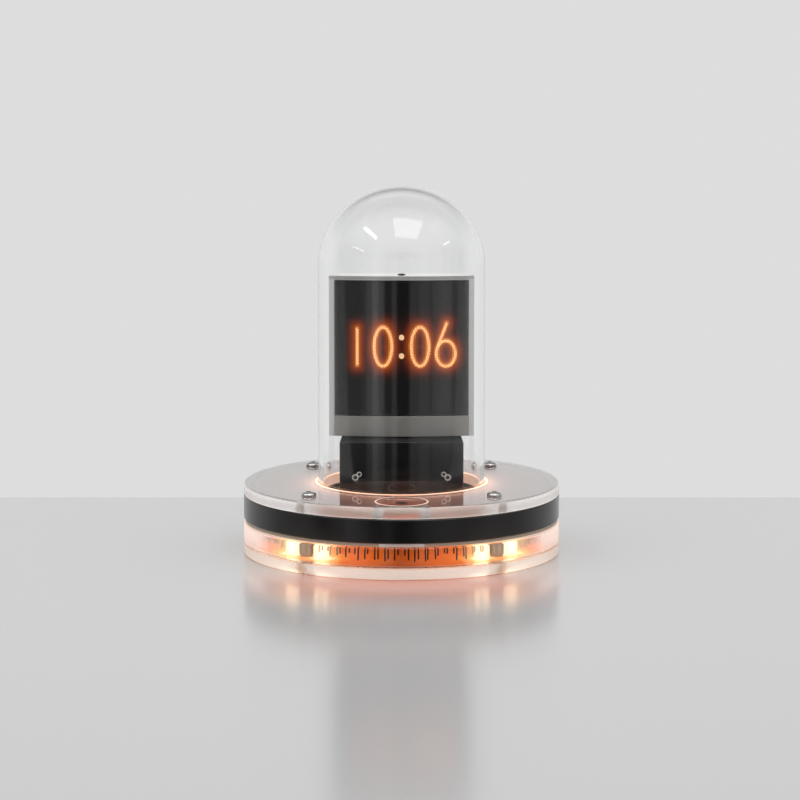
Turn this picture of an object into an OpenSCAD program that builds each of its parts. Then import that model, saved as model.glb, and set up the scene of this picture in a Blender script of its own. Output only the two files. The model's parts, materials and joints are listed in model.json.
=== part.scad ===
// Digital desk clock: a lit display head on a black neck, under a lift-off glass dome,
// on a round base of clear plates with a black ring between them.
// Millimetres, +Z up, front towards -Y, origin at the middle of the underside.

/* [Base] */
// Diameter of the round base
base_d = 160; // [154:1:190]
// Thickness of the top and bottom plates
plate_t = 6; // [5:0.5:9]
// Height of the black ring
ring_h = 12; // [11.5:0.5:16]
// Wall of the black ring
ring_wall = 8; // [6:0.5:9]
// Height of the lit space under the ring, circuit board included
lit_h = 12; // [11.5:0.5:18]
// Wall of the clear band round the lit space
lit_wall = 6; // [4:0.5:7]
// Chamfer on the edges of plates and ring
edge = 0.5; // [0.2:0.1:1]
// Radius of the clear band's upper outer edge
band_round = 1.5; // [0.6:0.1:2.5]
// Thickness of the black deck under the top plate
deck_t = 2; // [1.5:0.1:3]

/* [Fixings] */
// Nominal diameter of the four corner screws
screw_d = 4; // [3:0.5:4.5]
// Distance of the corner screws from the rim
screw_inset = 15; // [14:0.5:17]
// Head diameter of the corner screws
screw_head_d = 7.6; // [7:0.1:8.4]
// Head height of the corner screws
screw_head_h = 2.2; // [1.8:0.1:2.8]
// Outside diameter of the knurled standoffs
standoff_d = 6.6; // [6:0.2:8]
// Ribs round each knurled standoff
knurl_ribs = 22; // [16:1:28]

/* [Circuit board] */
// Thickness of the circuit board
board_t = 1.6; // [1:0.2:2.4]
// Free length of the component leads under the board
lead_len = 7; // [4:0.5:8]
// Diameter of one lead
lead_d = 0.7; // [0.5:0.1:0.9]
// Angle between neighbouring pairs of leads
lead_step = 4; // [3.5:0.5:6]
// Pairs of leads in each of the three arcs
lead_pairs = 18; // [6:2:18]
// Diameter of the lamps in the lit space
lamp_d = 5; // [3:0.5:5.5]
// Angle from a standoff to each lamp beside it
lamp_step = 8.5; // [7.5:0.5:10]

/* [Glass dome] */
// Outside diameter of the dome
dome_d = 84.4; // [83:0.2:92]
// Height of the dome from its foot to its top
dome_h = 155; // [150:1:175]
// Height of the rounded crown
crown_h = 39.6; // [34:0.2:42]
// Thickness of the glass
glass_t = 2.4; // [1.8:0.1:3]
// Thickness of the seal that the dome stands on
seal_t = 1; // [0.6:0.1:2]
// Width of the lit rim round the dome's hole
rim_t = 1.3; // [0.8:0.1:2.5]

/* [Push button] */
// Diameter of the push button
button_d = 24.8; // [20:0.2:26]
// Width of the lit line round the button
button_line = 0.7; // [0.5:0.1:1.2]
// Travel of the push button
button_travel = 1; // [0.5:0.1:1.2]

/* [Rear controls] */
// Diameter of the two setting buttons
set_d = 5; // [4:0.2:5.6]
// Travel of a setting button
set_travel = 0.6; // [0.3:0.1:0.8]
// Distance of each setting button from the middle
set_x = 16; // [14:1:20]

/* [Neck] */
// Width of the neck
neck_w = 60.8; // [56:0.4:64]
// Depth of the neck
neck_depth = 44; // [38:1:46]
// Wall of the neck
neck_wall = 2.5; // [2:0.1:3.5]
// Radius of the neck's upright corners
neck_round = 4; // [3:0.5:6]
// Gap between the neck and the head
neck_gap = 1; // [0.5:0.1:2]
// Height of the neck above the deck
neck_h = 29; // [26:0.5:34]

/* [Display head] */
// Width of the head
head_w = 72.6; // [70:0.2:76]
// Depth of the head at its middle
head_depth = 15; // [14.5:0.5:18]
// Height of the head
head_h = 81.2; // [76:0.2:86]
// Radius of the head's curved front
front_r = 200; // [160:10:400]
// Width of the steel strips beside the screen
strip_w = 2.7; // [2:0.1:3.5]
// Height of the steel strip above the screen
strip_top = 2.1; // [1.6:0.1:3]
// Height of the steel chin under the screen
chin_h = 10.3; // [9.6:0.1:12]
// Thickness of the screen glass and of the chin
screen_t = 2; // [1.6:0.1:2.4]

/* [Numerals] */
// Height of a numeral
digit_h = 21.4; // [18:0.2:24]
// Width of a round numeral
digit_w = 10.4; // [9:0.2:11]
// Diameter of the numeral wire
wire_d = 1.5; // [1:0.1:1.8]
// Distance between the two numerals of a pair
digit_pitch = 12.9; // [12.4:0.1:14]
// Distance from the colon to the first numeral on each side
colon_side = 9.3; // [8.4:0.1:10]
// Height of the numerals' middle above the foot of the head
digit_mid = 45; // [42:0.5:48]
// Diameter of a colon dot
dot_d = 2.6; // [2:0.1:3]

/* [Hidden] */

$fn = 96;
fit = 0.1; // clearance between pieces that are assembled and stay put
slide = 0.1; // radial clearance of a piece that slides
play = 0.4; // clearance round the dome and the screw shanks
cut = 1; // how far a cutting shape runs past the face it cuts
sliver = 0.01; // thickness of the flats that a hull joins

base_r = base_d / 2;
z_board = plate_t + lit_h - board_t;
z_ring = plate_t + lit_h;
z_deck = z_ring + ring_h - deck_t;
z_plate = z_ring + ring_h;
z_top = z_plate + plate_t;
band_h = lit_h - board_t;

ring_in_r = base_r - ring_wall;
deck_seat = 3;
deck_r = ring_in_r + deck_seat - fit;
board_r = base_r - 0.8;
screw_r = screw_d / 2 - 0.05;
screw_hole_r = screw_d / 2 + play / 2;
screw_circle = base_r - screw_inset;
corners = [45, 135, 225, 315];
boss_r = 5;

top_screw_len = plate_t + ring_h + board_t + band_h / 2;
tip_gap = 1.2; // between the ends of the two screws in a standoff
flat_screw_len = plate_t + band_h / 2 - tip_gap;
thread_hole_r = screw_d / 2;
sink = 0.2; // how far the flat screws lie below the underside's face
flat_head_h = screw_head_h;
flat_head_r = screw_head_d / 2;
hex_d = screw_d * 0.62;

knurl_depth = 0.4;
collar_h = 1.2;

lead_circle = ring_in_r - 3;
lead_gap = 1.6; // between the two leads of a pair
lead_arcs = [-90, 0, 180];
lead_from = -lead_step * (lead_pairs - 1) / 2;
resistor_r = 1.2;
resistor_h = 6.2;
resistor_cap = 1.6; // length of a resistor's thicker end
chip_w = 12;
chip_d = 8;
chip_t = 1.6;
chip_legs = 8;
chip_lift = 0.2;
leg_w = 0.5;
leg_t = 0.6;
cap_r = 4;
cap_h = 8.4;
cap_pitch = 10;
coil_r = 6;
coil_h = 6.4;
coil_rim = 1;
cell_r = 10;
cell_h = 3.2;
holder_r = 12;
holder_floor = 1;
holder_h = 4.6;
chip_at = [[-0.31, -0.14, 0], [-0.56, -0.2, 90], [-0.11, 0.42, 0]];
cap_at = [-0.72, -0.03];
coil_at = [-0.39, -0.47];
cell_at = [-0.42, 0.28];
lamp_r = lamp_d / 2;
lamp_len = 8.4;
lamp_flange = 0.4;
lamp_flange_h = 1;
header_w = 22;
header_deep = 8;
header_drop = 1.5;
header_ways = 9;
header_slot = 0.8;
header_back = -board_r + header_deep;
header_low_front = play / 2 - sqrt(pow(base_r - lit_wall, 2) - pow(header_w / 2, 2));

dome_r = dome_d / 2;
dome_in_r = dome_r - glass_t;
rim_in_r = dome_r + play;
hole_r = rim_in_r + rim_t + fit / 2;
z_foot = z_plate + seal_t;
z_apex = z_foot + dome_h;
z_crown = z_apex - crown_h;
crown_steps = 20;

button_y = -(hole_r + base_r) / 2;
button_r = button_d / 2;
line_in_r = button_r + slide;
line_out_r = line_in_r + button_line;
button_hole_r = line_out_r + fit / 2;
button_flange_t = 1;
button_low = z_plate + button_travel + 0.2;
stem_r = 3;
switch_w = 10;
switch_h = ring_h - deck_t - fit; // it reaches the deck, and closes the deck's hole from below
switch_out = 2.2; // how far the plunger stands out of the switch
switch_y = -(lead_circle - resistor_r - switch_w / 2 - 2 * play);
switch_bore_r = stem_r + play;
plunger_top = z_ring + switch_h + switch_out;
plunger_low = plunger_top - switch_out - button_travel;

socket_w = 8.94;
socket_h = 3.26;
socket_deep = 7.35;
socket_wall = 0.3;
socket_back = 1;
tongue_w = 6.6;
tongue_t = 0.7;
tongue_len = 4.6;
socket_face = base_r - play;
set_r = set_d / 2;
set_z = z_ring + ring_h / 2;
set_out = 0.8; // how far a setting button stands out of the ring
set_face = sqrt(base_r * base_r - set_x * set_x) + set_out;
flange_t = 1.3;
set_flange_r = set_r + 0.9;
set_flange_y = sqrt(ring_in_r * ring_in_r - pow(set_x + set_flange_r, 2)) - slide;
set_pin_r = 1.2;
set_pin_len = 3.2;
set_switch_w = 6;
set_rest = 0.3; // what is left of the gap in front of the switch at full travel
set_switch_front = set_flange_y - flange_t - set_travel - set_rest;
set_switch_deep = 5;
set_switch_h = set_z - z_ring + set_switch_w / 2;

neck_front = neck_depth / 2;
neck_in_w = neck_w - 2 * neck_wall;
neck_in_depth = neck_depth - 2 * neck_wall;
neck_top_t = 3;
neck_chamfer = 0.8;
neck_in_round = 1.8;
z_neck = z_plate + neck_h;
z_head = z_neck + neck_gap;
z_head_top = z_head + head_h;
foot_h = 16;
foot_wall = 6;
foot_screw_r = 1.5;
foot_screw_x = neck_in_w / 2 - foot_wall / 2;
foot_screw_y = neck_in_depth / 2 - foot_wall / 2;
foot_screw_len = deck_t + foot_h / 2;
foot_head_r = 2.7;
foot_head_h = 2;
foot_hex = 2.4;
clamp_x = neck_w / 2 - 7.6;
clamp_z = z_plate + 11.4;
clamp_r = 0.75;
clamp_head_r = 1.4;
clamp_head_h = 0.9;
clamp_hex = 1.5;
clamp_len = neck_wall + foot_wall * 0.7;
lock_x = clamp_x - 1.9;
lock_z = clamp_z + 1.5;
lock_r = 0.85;
lock_hex = 0.95;
lock_hex_deep = 0.8;

head_y = -1.5; // middle of the head's depth, on the post's axis
head_front = head_y - head_depth / 2;
head_rear = head_y + head_depth / 2;
front_cy = head_front + front_r;
head_round = 2.5;
head_in_w = head_w - 2 * strip_w;
head_floor_t = 3;
z_chin = z_head + chin_h;
z_screen_top = z_head_top - strip_top;
back_t = 1.5;
back_in = head_rear - back_t;
block = 6; // corner blocks that take the back cover's screws
back_screw_r = 1;
back_screw_in = 2; // how far a cover screw runs into its block
back_hole_in = 2.6;
back_head_r = 1.9;
back_head_h = 0.9;
back_hex = 1.3;
vent_len = 26;
vent_w = 1.6;
vent_step = 5;
vents = 9;
cap_screw_r = 1.4;
cap_head_r = 2.15;
cap_head_h = 1.1;

post_r = 3.5;
post_bore_r = 2.5;
post_flange_r = 8;
post_flange_t = 2;
cable_r = 2;
nut_flats = 10;
nut_h = 4;
nut_r = nut_flats / 2 / cos(30);
thin_nut_h = 3;
washer_r = 6.5;
post_top = z_head + head_floor_t + nut_h + 1;
post_low = z_deck - thin_nut_h - 1;

wire_r = wire_d / 2;
plate_gap = 0.9; // between the numeral plate and the back of the wires
numeral_plate_t = 1.2;
glass_gap = 2.35; // between the middle of the screen's back and the front of the wires
wire_y = head_front + screen_t + glass_gap + wire_r;
plate_front = wire_y + wire_r + plate_gap;
plate_rear = plate_front + numeral_plate_t;
z_digits = z_head + digit_mid;
header_low = z_chin + fit * 2;
cable_header_h = 5.4;
cable_header_w = 16;
cable_header_deep = 4;
z_display_board = header_low + cable_header_h;
display_board_t = board_t;
display_board_inset = 1.5;
display_chips_x = [-18, 0, 18];
oval_steps = 40;
wire_sides = 10;

acrylic = [0.86, 0.85, 0.83, 0.6];
glow = [1, 0.55, 0.2];
black = [0.09, 0.09, 0.09];
steel = [0.65, 0.64, 0.62];
brass_tone = [0.72, 0.6, 0.45];

// A round disc with chamfered rims
module chamfered_disc(r, h, c = edge)
    rotate_extrude()
        polygon([[0, 0], [r - c, 0], [r, c], [r, h - c], [r - c, h], [0, h]]);

// A ring with chamfered outer rims
module chamfered_ring(ro, ri, h, c = edge)
    rotate_extrude()
        polygon([[ri, 0], [ro - c, 0], [ro, c], [ro, h - c], [ro - c, h], [ri, h]]);

// A plain tube
module tube(ro, ri, h)
    difference() {
        cylinder(r = ro, h = h);
        translate([0, 0, -cut]) cylinder(r = ri, h = h + 2 * cut);
    }

// A rectangle with round corners, from squares and circles
module round_rect(w, d, r) {
    square([w - 2 * r, d], center = true);
    square([w, d - 2 * r], center = true);
    for (x = [-1, 1], y = [-1, 1])
        translate([x * (w / 2 - r), y * (d / 2 - r)]) circle(r = r);
}

// A shape stood up so that its second axis is Z and it grows from y towards +Y
module standing(y, t)
    translate([0, y + t, 0]) rotate([90, 0, 0]) linear_extrude(t) children();

// Copies at the four corner screws
module at_corners()
    for (a = corners) rotate(a) translate([screw_circle, 0, 0]) children();

// Copies at the pairs of leads, each with its X axis along the circle's radius
module at_pairs()
    for (arc = lead_arcs, k = [0 : lead_pairs - 1])
        rotate(arc + lead_from + k * lead_step) translate([lead_circle, 0, 0]) children();

// A domed screw head with a hexagon socket, its underside at z = 0
module domed_head(r, h, socket) {
    rim = h * 0.3;
    difference() {
        rotate_extrude()
            polygon(concat([[0, 0], [r, 0]],
                [for (a = [0 : 15 : 90]) [r * cos(a), rim + (h - rim) * sin(a)]]));
        translate([0, 0, h * 0.35]) cylinder(d = socket, h = h, $fn = 6);
    }
}

// A domed screw hanging from z = 0 with its head above
module domed_screw(r, len, head_r, head_h, socket) {
    domed_head(head_r, head_h, socket);
    translate([0, 0, -len]) cylinder(r = r, h = len);
}

module bottom_plate() color(acrylic) difference() {
    chamfered_disc(base_r, plate_t);
    at_corners() {
        translate([0, 0, -cut]) cylinder(r = screw_hole_r, h = plate_t + 2 * cut);
        translate([0, 0, -cut]) cylinder(r = flat_head_r + fit, h = cut + sink);
        translate([0, 0, sink])
            cylinder(r1 = flat_head_r + fit, r2 = screw_hole_r, h = flat_head_h);
    }
}

module bottom_screws() color(steel) at_corners() translate([0, 0, sink]) difference() {
    union() {
        cylinder(r1 = flat_head_r, r2 = screw_r, h = flat_head_h);
        cylinder(r = screw_r, h = flat_screw_len);
    }
    translate([0, 0, -cut]) cylinder(d = hex_d, h = cut + flat_head_h * 0.7, $fn = 6);
}

module light_band() color([0.95, 0.86, 0.8, 0.5]) translate([0, 0, plate_t]) rotate_extrude()
    polygon(concat(
        [[base_r - lit_wall, 0], [base_r - edge, 0], [base_r, edge]],
        [for (a = [0 : 15 : 90])
            [base_r - band_round * (1 - cos(a)), band_h - band_round * (1 - sin(a))]],
        [[base_r - lit_wall, band_h]]));

module knurled_collar(r, h)
    linear_extrude(h) polygon([for (i = [0 : 2 * knurl_ribs - 1])
        (r - (i % 2) * knurl_depth) * [cos(i * 180 / knurl_ribs), sin(i * 180 / knurl_ribs)]]);

module standoffs() color(brass_tone) at_corners() translate([0, 0, plate_t]) difference() {
    union() {
        cylinder(r = standoff_d / 2 - knurl_depth, h = band_h);
        translate([0, 0, collar_h]) knurled_collar(standoff_d / 2, band_h - 2 * collar_h);
    }
    translate([0, 0, -cut]) cylinder(r = thread_hole_r, h = band_h + 2 * cut);
}

module circuit_board() color([0.55, 0.45, 0.35]) translate([0, 0, z_board]) difference() {
    cylinder(r = board_r, h = board_t);
    at_corners() translate([0, 0, -cut]) cylinder(r = screw_hole_r, h = board_t + 2 * cut);
    translate([-header_w / 2 - fit, -board_r - cut, -cut])
        cube([header_w + 2 * fit, cut + header_deep + fit, board_t + 2 * cut]);
}

module lead_pins() color([0.5, 0.3, 0.15]) translate([0, 0, z_board - lead_len]) at_pairs()
    for (side = [-1, 1]) translate([0, side * lead_gap / 2, 0])
        cylinder(d = lead_d, h = lead_len, $fn = 16);

module chamber_lamps() color(glow)
    for (a = corners, side = [-1, 1]) rotate(a + side * lamp_step)
        translate([screw_circle, 0, z_board]) mirror([0, 0, 1]) {
            cylinder(r = lamp_r + lamp_flange, h = lamp_flange_h);
            cylinder(r = lamp_r, h = lamp_len - lamp_r);
            translate([0, 0, lamp_len - lamp_r]) sphere(r = lamp_r);
        }

// A white header in a notch of the board's front edge, its body behind the clear band
module edge_header() color([0.9, 0.89, 0.87]) translate([-header_w / 2, 0, 0]) difference() {
    union() {
        translate([0, -board_r, z_board]) cube([header_w, header_deep, board_t]);
        translate([0, header_low_front, z_board - header_drop])
            cube([header_w, header_back - header_low_front, header_drop + fit]);
    }
    for (i = [1 : header_ways]) translate([header_w * i / (header_ways + 1) - header_slot / 2,
            header_back - 1.5 * header_slot, z_board - header_drop - cut])
        cube([header_slot, header_slot, cut + header_drop / 2]);
}

module housing_ring() color(black) translate([0, 0, z_ring]) difference() {
    union() {
        chamfered_ring(base_r, ring_in_r, ring_h);
        at_corners() {
            cylinder(r = boss_r, h = ring_h - deck_t);
            translate([0, -boss_r, 0])
                cube([ring_in_r - screw_circle + cut, 2 * boss_r, ring_h - deck_t]);
        }
    }
    translate([0, 0, ring_h - deck_t]) cylinder(r = ring_in_r + deck_seat, h = deck_t + cut);
    at_corners() translate([0, 0, -cut]) cylinder(r = screw_hole_r, h = ring_h + 2 * cut);
    translate([-socket_w / 2 - fit, 0, -cut])
        cube([socket_w + 2 * fit, base_r + cut, socket_h + 3 * fit + cut]);
    for (side = [-1, 1]) translate([side * set_x, 0, set_z - z_ring]) rotate([-90, 0, 0])
        cylinder(r = set_r + slide, h = base_r + cut);
}

module deck_plate() color(black) translate([0, 0, z_deck]) difference() {
    cylinder(r = deck_r, h = deck_t);
    at_corners() translate([0, 0, -cut]) cylinder(r = screw_hole_r, h = deck_t + 2 * cut);
    translate([0, switch_y, -cut]) cylinder(r = switch_bore_r + play, h = deck_t + 2 * cut);
    translate([0, head_y, -cut]) cylinder(r = post_r + fit, h = deck_t + 2 * cut);
    for (x = [-1, 1], y = [-1, 1]) translate([x * foot_screw_x, y * foot_screw_y, -cut])
        cylinder(r = foot_screw_r + play / 2, h = deck_t + 2 * cut);
}

module top_plate() color(acrylic) translate([0, 0, z_plate]) difference() {
    chamfered_disc(base_r, plate_t);
    translate([0, 0, -cut]) cylinder(r = hole_r, h = plate_t + 2 * cut);
    translate([0, button_y, -cut]) cylinder(r = button_hole_r, h = plate_t + 2 * cut);
    at_corners() translate([0, 0, -cut]) cylinder(r = screw_hole_r, h = plate_t + 2 * cut);
}

module top_screws() color(steel) at_corners() translate([0, 0, z_top])
    domed_screw(screw_r, top_screw_len, screw_head_d / 2, screw_head_h, hex_d);

module rim_light() color(glow) translate([0, 0, z_plate]) tube(rim_in_r + rim_t, rim_in_r, plate_t);

module button_light() color(glow) {
    low = button_low + button_flange_t + fit;
    translate([0, button_y, low]) tube(line_out_r, line_in_r, z_top - low);
}

module push_button() color(acrylic) {
    translate([0, button_y, button_low]) cylinder(r = line_out_r - fit, h = button_flange_t);
    translate([0, button_y, button_low]) cylinder(r = button_r, h = z_top - button_low);
    translate([0, switch_y, plunger_top]) cylinder(r = stem_r, h = button_low - plunger_top + fit);
}

module switch_plunger() color([0.8, 0.8, 0.78]) translate([0, switch_y, plunger_low])
    cylinder(r = switch_bore_r - slide, h = plunger_top - plunger_low);

module button_switch() color(black) translate([0, switch_y, z_ring]) difference() {
    translate([-switch_w / 2, -switch_w / 2, 0]) cube([switch_w, switch_w, switch_h]);
    translate([0, 0, plunger_low - button_travel - slide - z_ring])
        cylinder(r = switch_bore_r, h = switch_h + cut);
}

module driver_resistors() color([0.75, 0.62, 0.45]) translate([0, 0, z_ring]) at_pairs()
    rotate_extrude($fn = 24) polygon([[0, 0], [resistor_r * 0.75, 0],
        [resistor_r, resistor_cap * 0.35], [resistor_r, resistor_cap],
        [resistor_r * 0.82, resistor_cap * 1.3], [resistor_r * 0.82, resistor_h - resistor_cap * 1.3],
        [resistor_r, resistor_h - resistor_cap], [resistor_r, resistor_h - resistor_cap * 0.35],
        [resistor_r * 0.75, resistor_h], [0, resistor_h]]);

// Copies on the board at places given as shares of the ring's inner radius
module on_board(places)
    for (p = places) translate([p[0] * ring_in_r, p[1] * ring_in_r, z_ring])
        rotate(len(p) > 2 ? p[2] : 0) children();

// A chip with a row of legs along two sides
module chip() {
    translate([-chip_w / 2, -chip_d / 2, chip_lift]) cube([chip_w, chip_d, chip_t]);
    for (i = [0 : chip_legs - 1], side = [-1, 1])
        translate([(i - (chip_legs - 1) / 2) * chip_w / chip_legs - leg_w / 2,
                side * (chip_d + 2 * leg_w) / 2 - leg_t, 0])
            cube([leg_w, 2 * leg_t, leg_t]);
}

module control_chips() color(black) on_board(chip_at) chip();

module capacitors() color([0.2, 0.22, 0.3]) on_board([cap_at]) for (i = [0 : 2])
    translate([0, i * cap_pitch, 0]) rotate_extrude($fn = 48)
        polygon([[0, 0], [cap_r, 0], [cap_r, cap_h * 0.15], [cap_r * 0.92, cap_h * 0.18],
            [cap_r, cap_h * 0.21], [cap_r, cap_h * 0.95], [cap_r * 0.9, cap_h], [0, cap_h]]);

module supply_coil() color([0.25, 0.25, 0.27]) on_board([coil_at]) rotate_extrude($fn = 48)
    polygon([[0, 0], [coil_r, 0], [coil_r, coil_rim], [coil_r - coil_rim, 1.4 * coil_rim],
        [coil_r - coil_rim, coil_h - 1.4 * coil_rim], [coil_r, coil_h - coil_rim],
        [coil_r, coil_h], [0, coil_h]]);

module cell_holder() color(black) on_board([cell_at]) difference() {
    cylinder(r = holder_r, h = holder_h);
    translate([0, 0, holder_floor]) cylinder(r = cell_r + fit, h = holder_h);
}

module backup_cell() color(steel) on_board([cell_at]) translate([0, 0, holder_floor])
    cylinder(r = cell_r, h = cell_h);

// A slot with round ends
module slot_outline(w, h) {
    square([w - h, h], center = true);
    for (x = [-1, 1]) translate([x * (w - h) / 2, 0]) circle(d = h);
}

module power_socket() color(steel) translate([0, 0, z_ring + socket_h / 2]) difference() {
    standing(socket_face - socket_deep, socket_deep) slot_outline(socket_w, socket_h);
    standing(socket_face - socket_deep + socket_back, socket_deep)
        slot_outline(socket_w - 2 * socket_wall, socket_h - 2 * socket_wall);
}

module socket_tongue() color(black)
    translate([-tongue_w / 2, socket_face - socket_deep + socket_back,
            z_ring + (socket_h - tongue_t) / 2])
        cube([tongue_w, tongue_len, tongue_t]);

module set_switches() color(black) for (side = [-1, 1])
    translate([side * set_x, set_switch_front - set_switch_deep, z_ring]) difference() {
        translate([-set_switch_w / 2, 0, 0]) cube([set_switch_w, set_switch_deep, set_switch_h]);
        translate([0, set_switch_deep - set_pin_len, set_z - z_ring]) rotate([-90, 0, 0])
            cylinder(r = set_pin_r + slide, h = set_pin_len + cut);
    }

// A setting button, one turned piece: cap, retaining flange and the pin that works the switch
module set_button(side) color(black) translate([side * set_x, 0, set_z]) rotate([-90, 0, 0]) {
    back = set_flange_y - flange_t;
    pin_end = set_switch_front - set_pin_len + set_travel + set_rest;
    rotate_extrude() polygon([[0, pin_end], [set_pin_r, pin_end], [set_pin_r, back],
        [set_flange_r, back], [set_flange_r, set_flange_y], [set_r, set_flange_y],
        [set_r, set_face - edge], [set_r - edge, set_face], [0, set_face]]);
}

module set_button_left() set_button(-1);

module set_button_right() set_button(1);

module dome_seal() color([0.12, 0.12, 0.12]) translate([0, 0, z_plate])
    tube(dome_r, dome_in_r - 1.5, seal_t);

// Half of the crown's outline, from the wall up to the axis
function crown(r, h, up) =
    [for (i = [0 : crown_steps]) let (a = 90 * i / crown_steps)
        up ? [r * cos(a), z_crown + h * sin(a)] : [r * sin(a), z_crown + h * cos(a)]];

module glass_dome() color([0.9, 0.94, 0.95, 0.25]) rotate_extrude() polygon(concat(
    [[dome_in_r, z_foot + edge], [dome_in_r + edge, z_foot], [dome_r - edge, z_foot],
        [dome_r, z_foot + edge]],
    crown(dome_r, crown_h, true),
    crown(dome_in_r, crown_h - glass_t, false)));

module neck_shell() color(black) difference() {
    union() {
        translate([0, 0, z_plate]) linear_extrude(neck_h - neck_chamfer)
            round_rect(neck_w, neck_depth, neck_round);
        hull() for (s = [0, neck_chamfer - sliver])
            translate([0, 0, z_neck - neck_chamfer + s]) linear_extrude(sliver)
                round_rect(neck_w - 2 * s, neck_depth - 2 * s, neck_round - s, $fn = 32);
    }
    translate([0, 0, z_plate - cut]) linear_extrude(neck_h - neck_top_t + cut)
        round_rect(neck_in_w, neck_in_depth, neck_in_round);
    translate([0, head_y, z_plate]) cylinder(r = post_r + fit, h = neck_h + cut);
    clamp_holes(clamp_r + fit, lock_r + fit);
}

// Cylinders through the neck's front and rear for the clamp screws and lock screws
module clamp_holes(r_clamp, r_lock)
    for (x = [-1, 1]) {
        translate([x * clamp_x, 0, clamp_z]) rotate([90, 0, 0])
            cylinder(r = r_clamp, h = neck_depth + cut, center = true);
        translate([x * lock_x, 0, lock_z]) rotate([90, 0, 0])
            cylinder(r = r_lock, h = neck_depth + cut, center = true);
    }

module neck_foot() color([0.3, 0.3, 0.32]) difference() {
    translate([0, 0, z_plate]) linear_extrude(foot_h) difference() {
        round_rect(neck_in_w - 2 * fit, neck_in_depth - 2 * fit, neck_in_round);
        square([neck_in_w - 2 * foot_wall, neck_in_depth - 2 * foot_wall], center = true);
    }
    clamp_holes(clamp_r + fit / 2, lock_r + fit / 2);
    for (x = [-1, 1], y = [-1, 1]) translate([x * foot_screw_x, y * foot_screw_y, z_plate - cut])
        cylinder(r = foot_screw_r + fit / 2, h = foot_screw_len - deck_t + cut + fit);
}

module foot_screws() color(steel) for (x = [-1, 1], y = [-1, 1])
    translate([x * foot_screw_x, y * foot_screw_y, z_deck]) mirror([0, 0, 1])
        domed_screw(foot_screw_r, foot_screw_len, foot_head_r, foot_head_h, foot_hex);

module neck_screws() color(steel) for (x = [-1, 1], turn = [0, 180])
    rotate(turn) translate([x * clamp_x, -neck_front, clamp_z]) rotate([90, 0, 0])
        domed_screw(clamp_r, clamp_len, clamp_head_r, clamp_head_h, clamp_hex);

module lock_screws() color(steel) for (x = [-1, 1], turn = [0, 180])
    rotate(turn) translate([x * lock_x, -neck_front, lock_z]) rotate([-90, 0, 0]) difference() {
        cylinder(r = lock_r, h = clamp_len);
        translate([0, 0, -cut]) cylinder(d = lock_hex, h = cut + lock_hex_deep, $fn = 6);
    }

module neck_post() color(steel) translate([0, head_y, 0]) difference() {
    union() {
        translate([0, 0, post_low]) cylinder(r = post_r, h = post_top - post_low);
        translate([0, 0, z_plate]) cylinder(r = post_flange_r, h = post_flange_t);
    }
    translate([0, 0, post_low - cut]) cylinder(r = post_bore_r, h = post_top - post_low + 2 * cut);
}

// A hexagon nut on the post, flats facing front and rear
module nut(z, h) translate([0, head_y, z]) difference() {
    cylinder(r = nut_r, h = h, $fn = 6);
    translate([0, 0, -cut]) cylinder(r = post_r + fit / 2, h = h + 2 * cut);
}

module post_nut() color(brass_tone) nut(z_deck - thin_nut_h, thin_nut_h);

module display_cable() color([0.2, 0.2, 0.2]) translate([0, head_y, z_ring])
    cylinder(r = cable_r, h = header_low - z_ring);

module head_washer() color(black) translate([0, head_y, z_neck])
    tube(washer_r, post_r + fit, neck_gap);

module head_nut() color(brass_tone) nut(z_head + head_floor_t, nut_h);

// The head's outline seen from above
module head_outline() intersection() {
    translate([0, head_y]) round_rect(head_w, head_depth, head_round);
    translate([0, front_cy]) circle(r = front_r, $fn = 360);
}

// The curved strip behind the head's front, seen from above
module front_strip(w) intersection() {
    difference() {
        translate([0, front_cy]) circle(r = front_r, $fn = 360);
        translate([0, front_cy]) circle(r = front_r - screen_t, $fn = 360);
    }
    translate([-w / 2, head_front - cut]) square([w, head_depth]);
}

module head_frame() color(steel) difference() {
    translate([0, 0, z_head]) linear_extrude(head_h) head_outline();
    translate([0, 0, z_head - cut]) linear_extrude(z_screen_top - z_head + cut) difference() {
        translate([-head_in_w / 2, head_front - cut]) square([head_in_w, head_depth / 2]);
        translate([0, front_cy]) circle(r = front_r - screen_t, $fn = 360);
    }
    difference() {
        translate([-head_in_w / 2, head_front - cut, z_head + head_floor_t])
            cube([head_in_w, head_depth + 2 * cut, z_screen_top - z_head - head_floor_t]);
        for (x = [0, 1], z = [z_head + head_floor_t - cut, z_screen_top - block]) mirror([x, 0, 0])
            translate([head_in_w / 2 - block, plate_rear + fit, z])
                cube([block + cut, back_in - plate_rear - fit, block + cut]);
    }
    back_screw_holes(back_screw_r + fit / 2, back_hole_in);
    translate([0, head_y, z_head - cut]) cylinder(r = post_r + fit, h = head_floor_t + 2 * cut);
    translate([0, head_y, z_head_top - strip_top - cut])
        cylinder(r = cap_screw_r + fit, h = strip_top + 2 * cut);
}

// Blind cylinders for the back cover's screws, entering from the rear
module back_screw_holes(r, deep)
    for (x = [-1, 1], z = [z_head + head_floor_t + block / 2, z_screen_top - block / 2])
        translate([x * (head_in_w - block) / 2, back_in - deep, z]) rotate([-90, 0, 0])
            cylinder(r = r, h = deep + back_t + cut);

module chin_band() color(steel) translate([0, 0, z_head]) linear_extrude(chin_h)
    front_strip(head_in_w - 2 * fit);

module screen_glass() color([0.1, 0.09, 0.09, 0.8]) translate([0, 0, z_chin + fit])
    linear_extrude(z_screen_top - z_chin - 2 * fit) front_strip(head_in_w - 2 * fit);

module numeral_plate() color(black)
    translate([-head_in_w / 2 + fit, plate_front, header_low])
        cube([head_in_w - 2 * fit, numeral_plate_t, z_screen_top - fit - header_low]);

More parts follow.
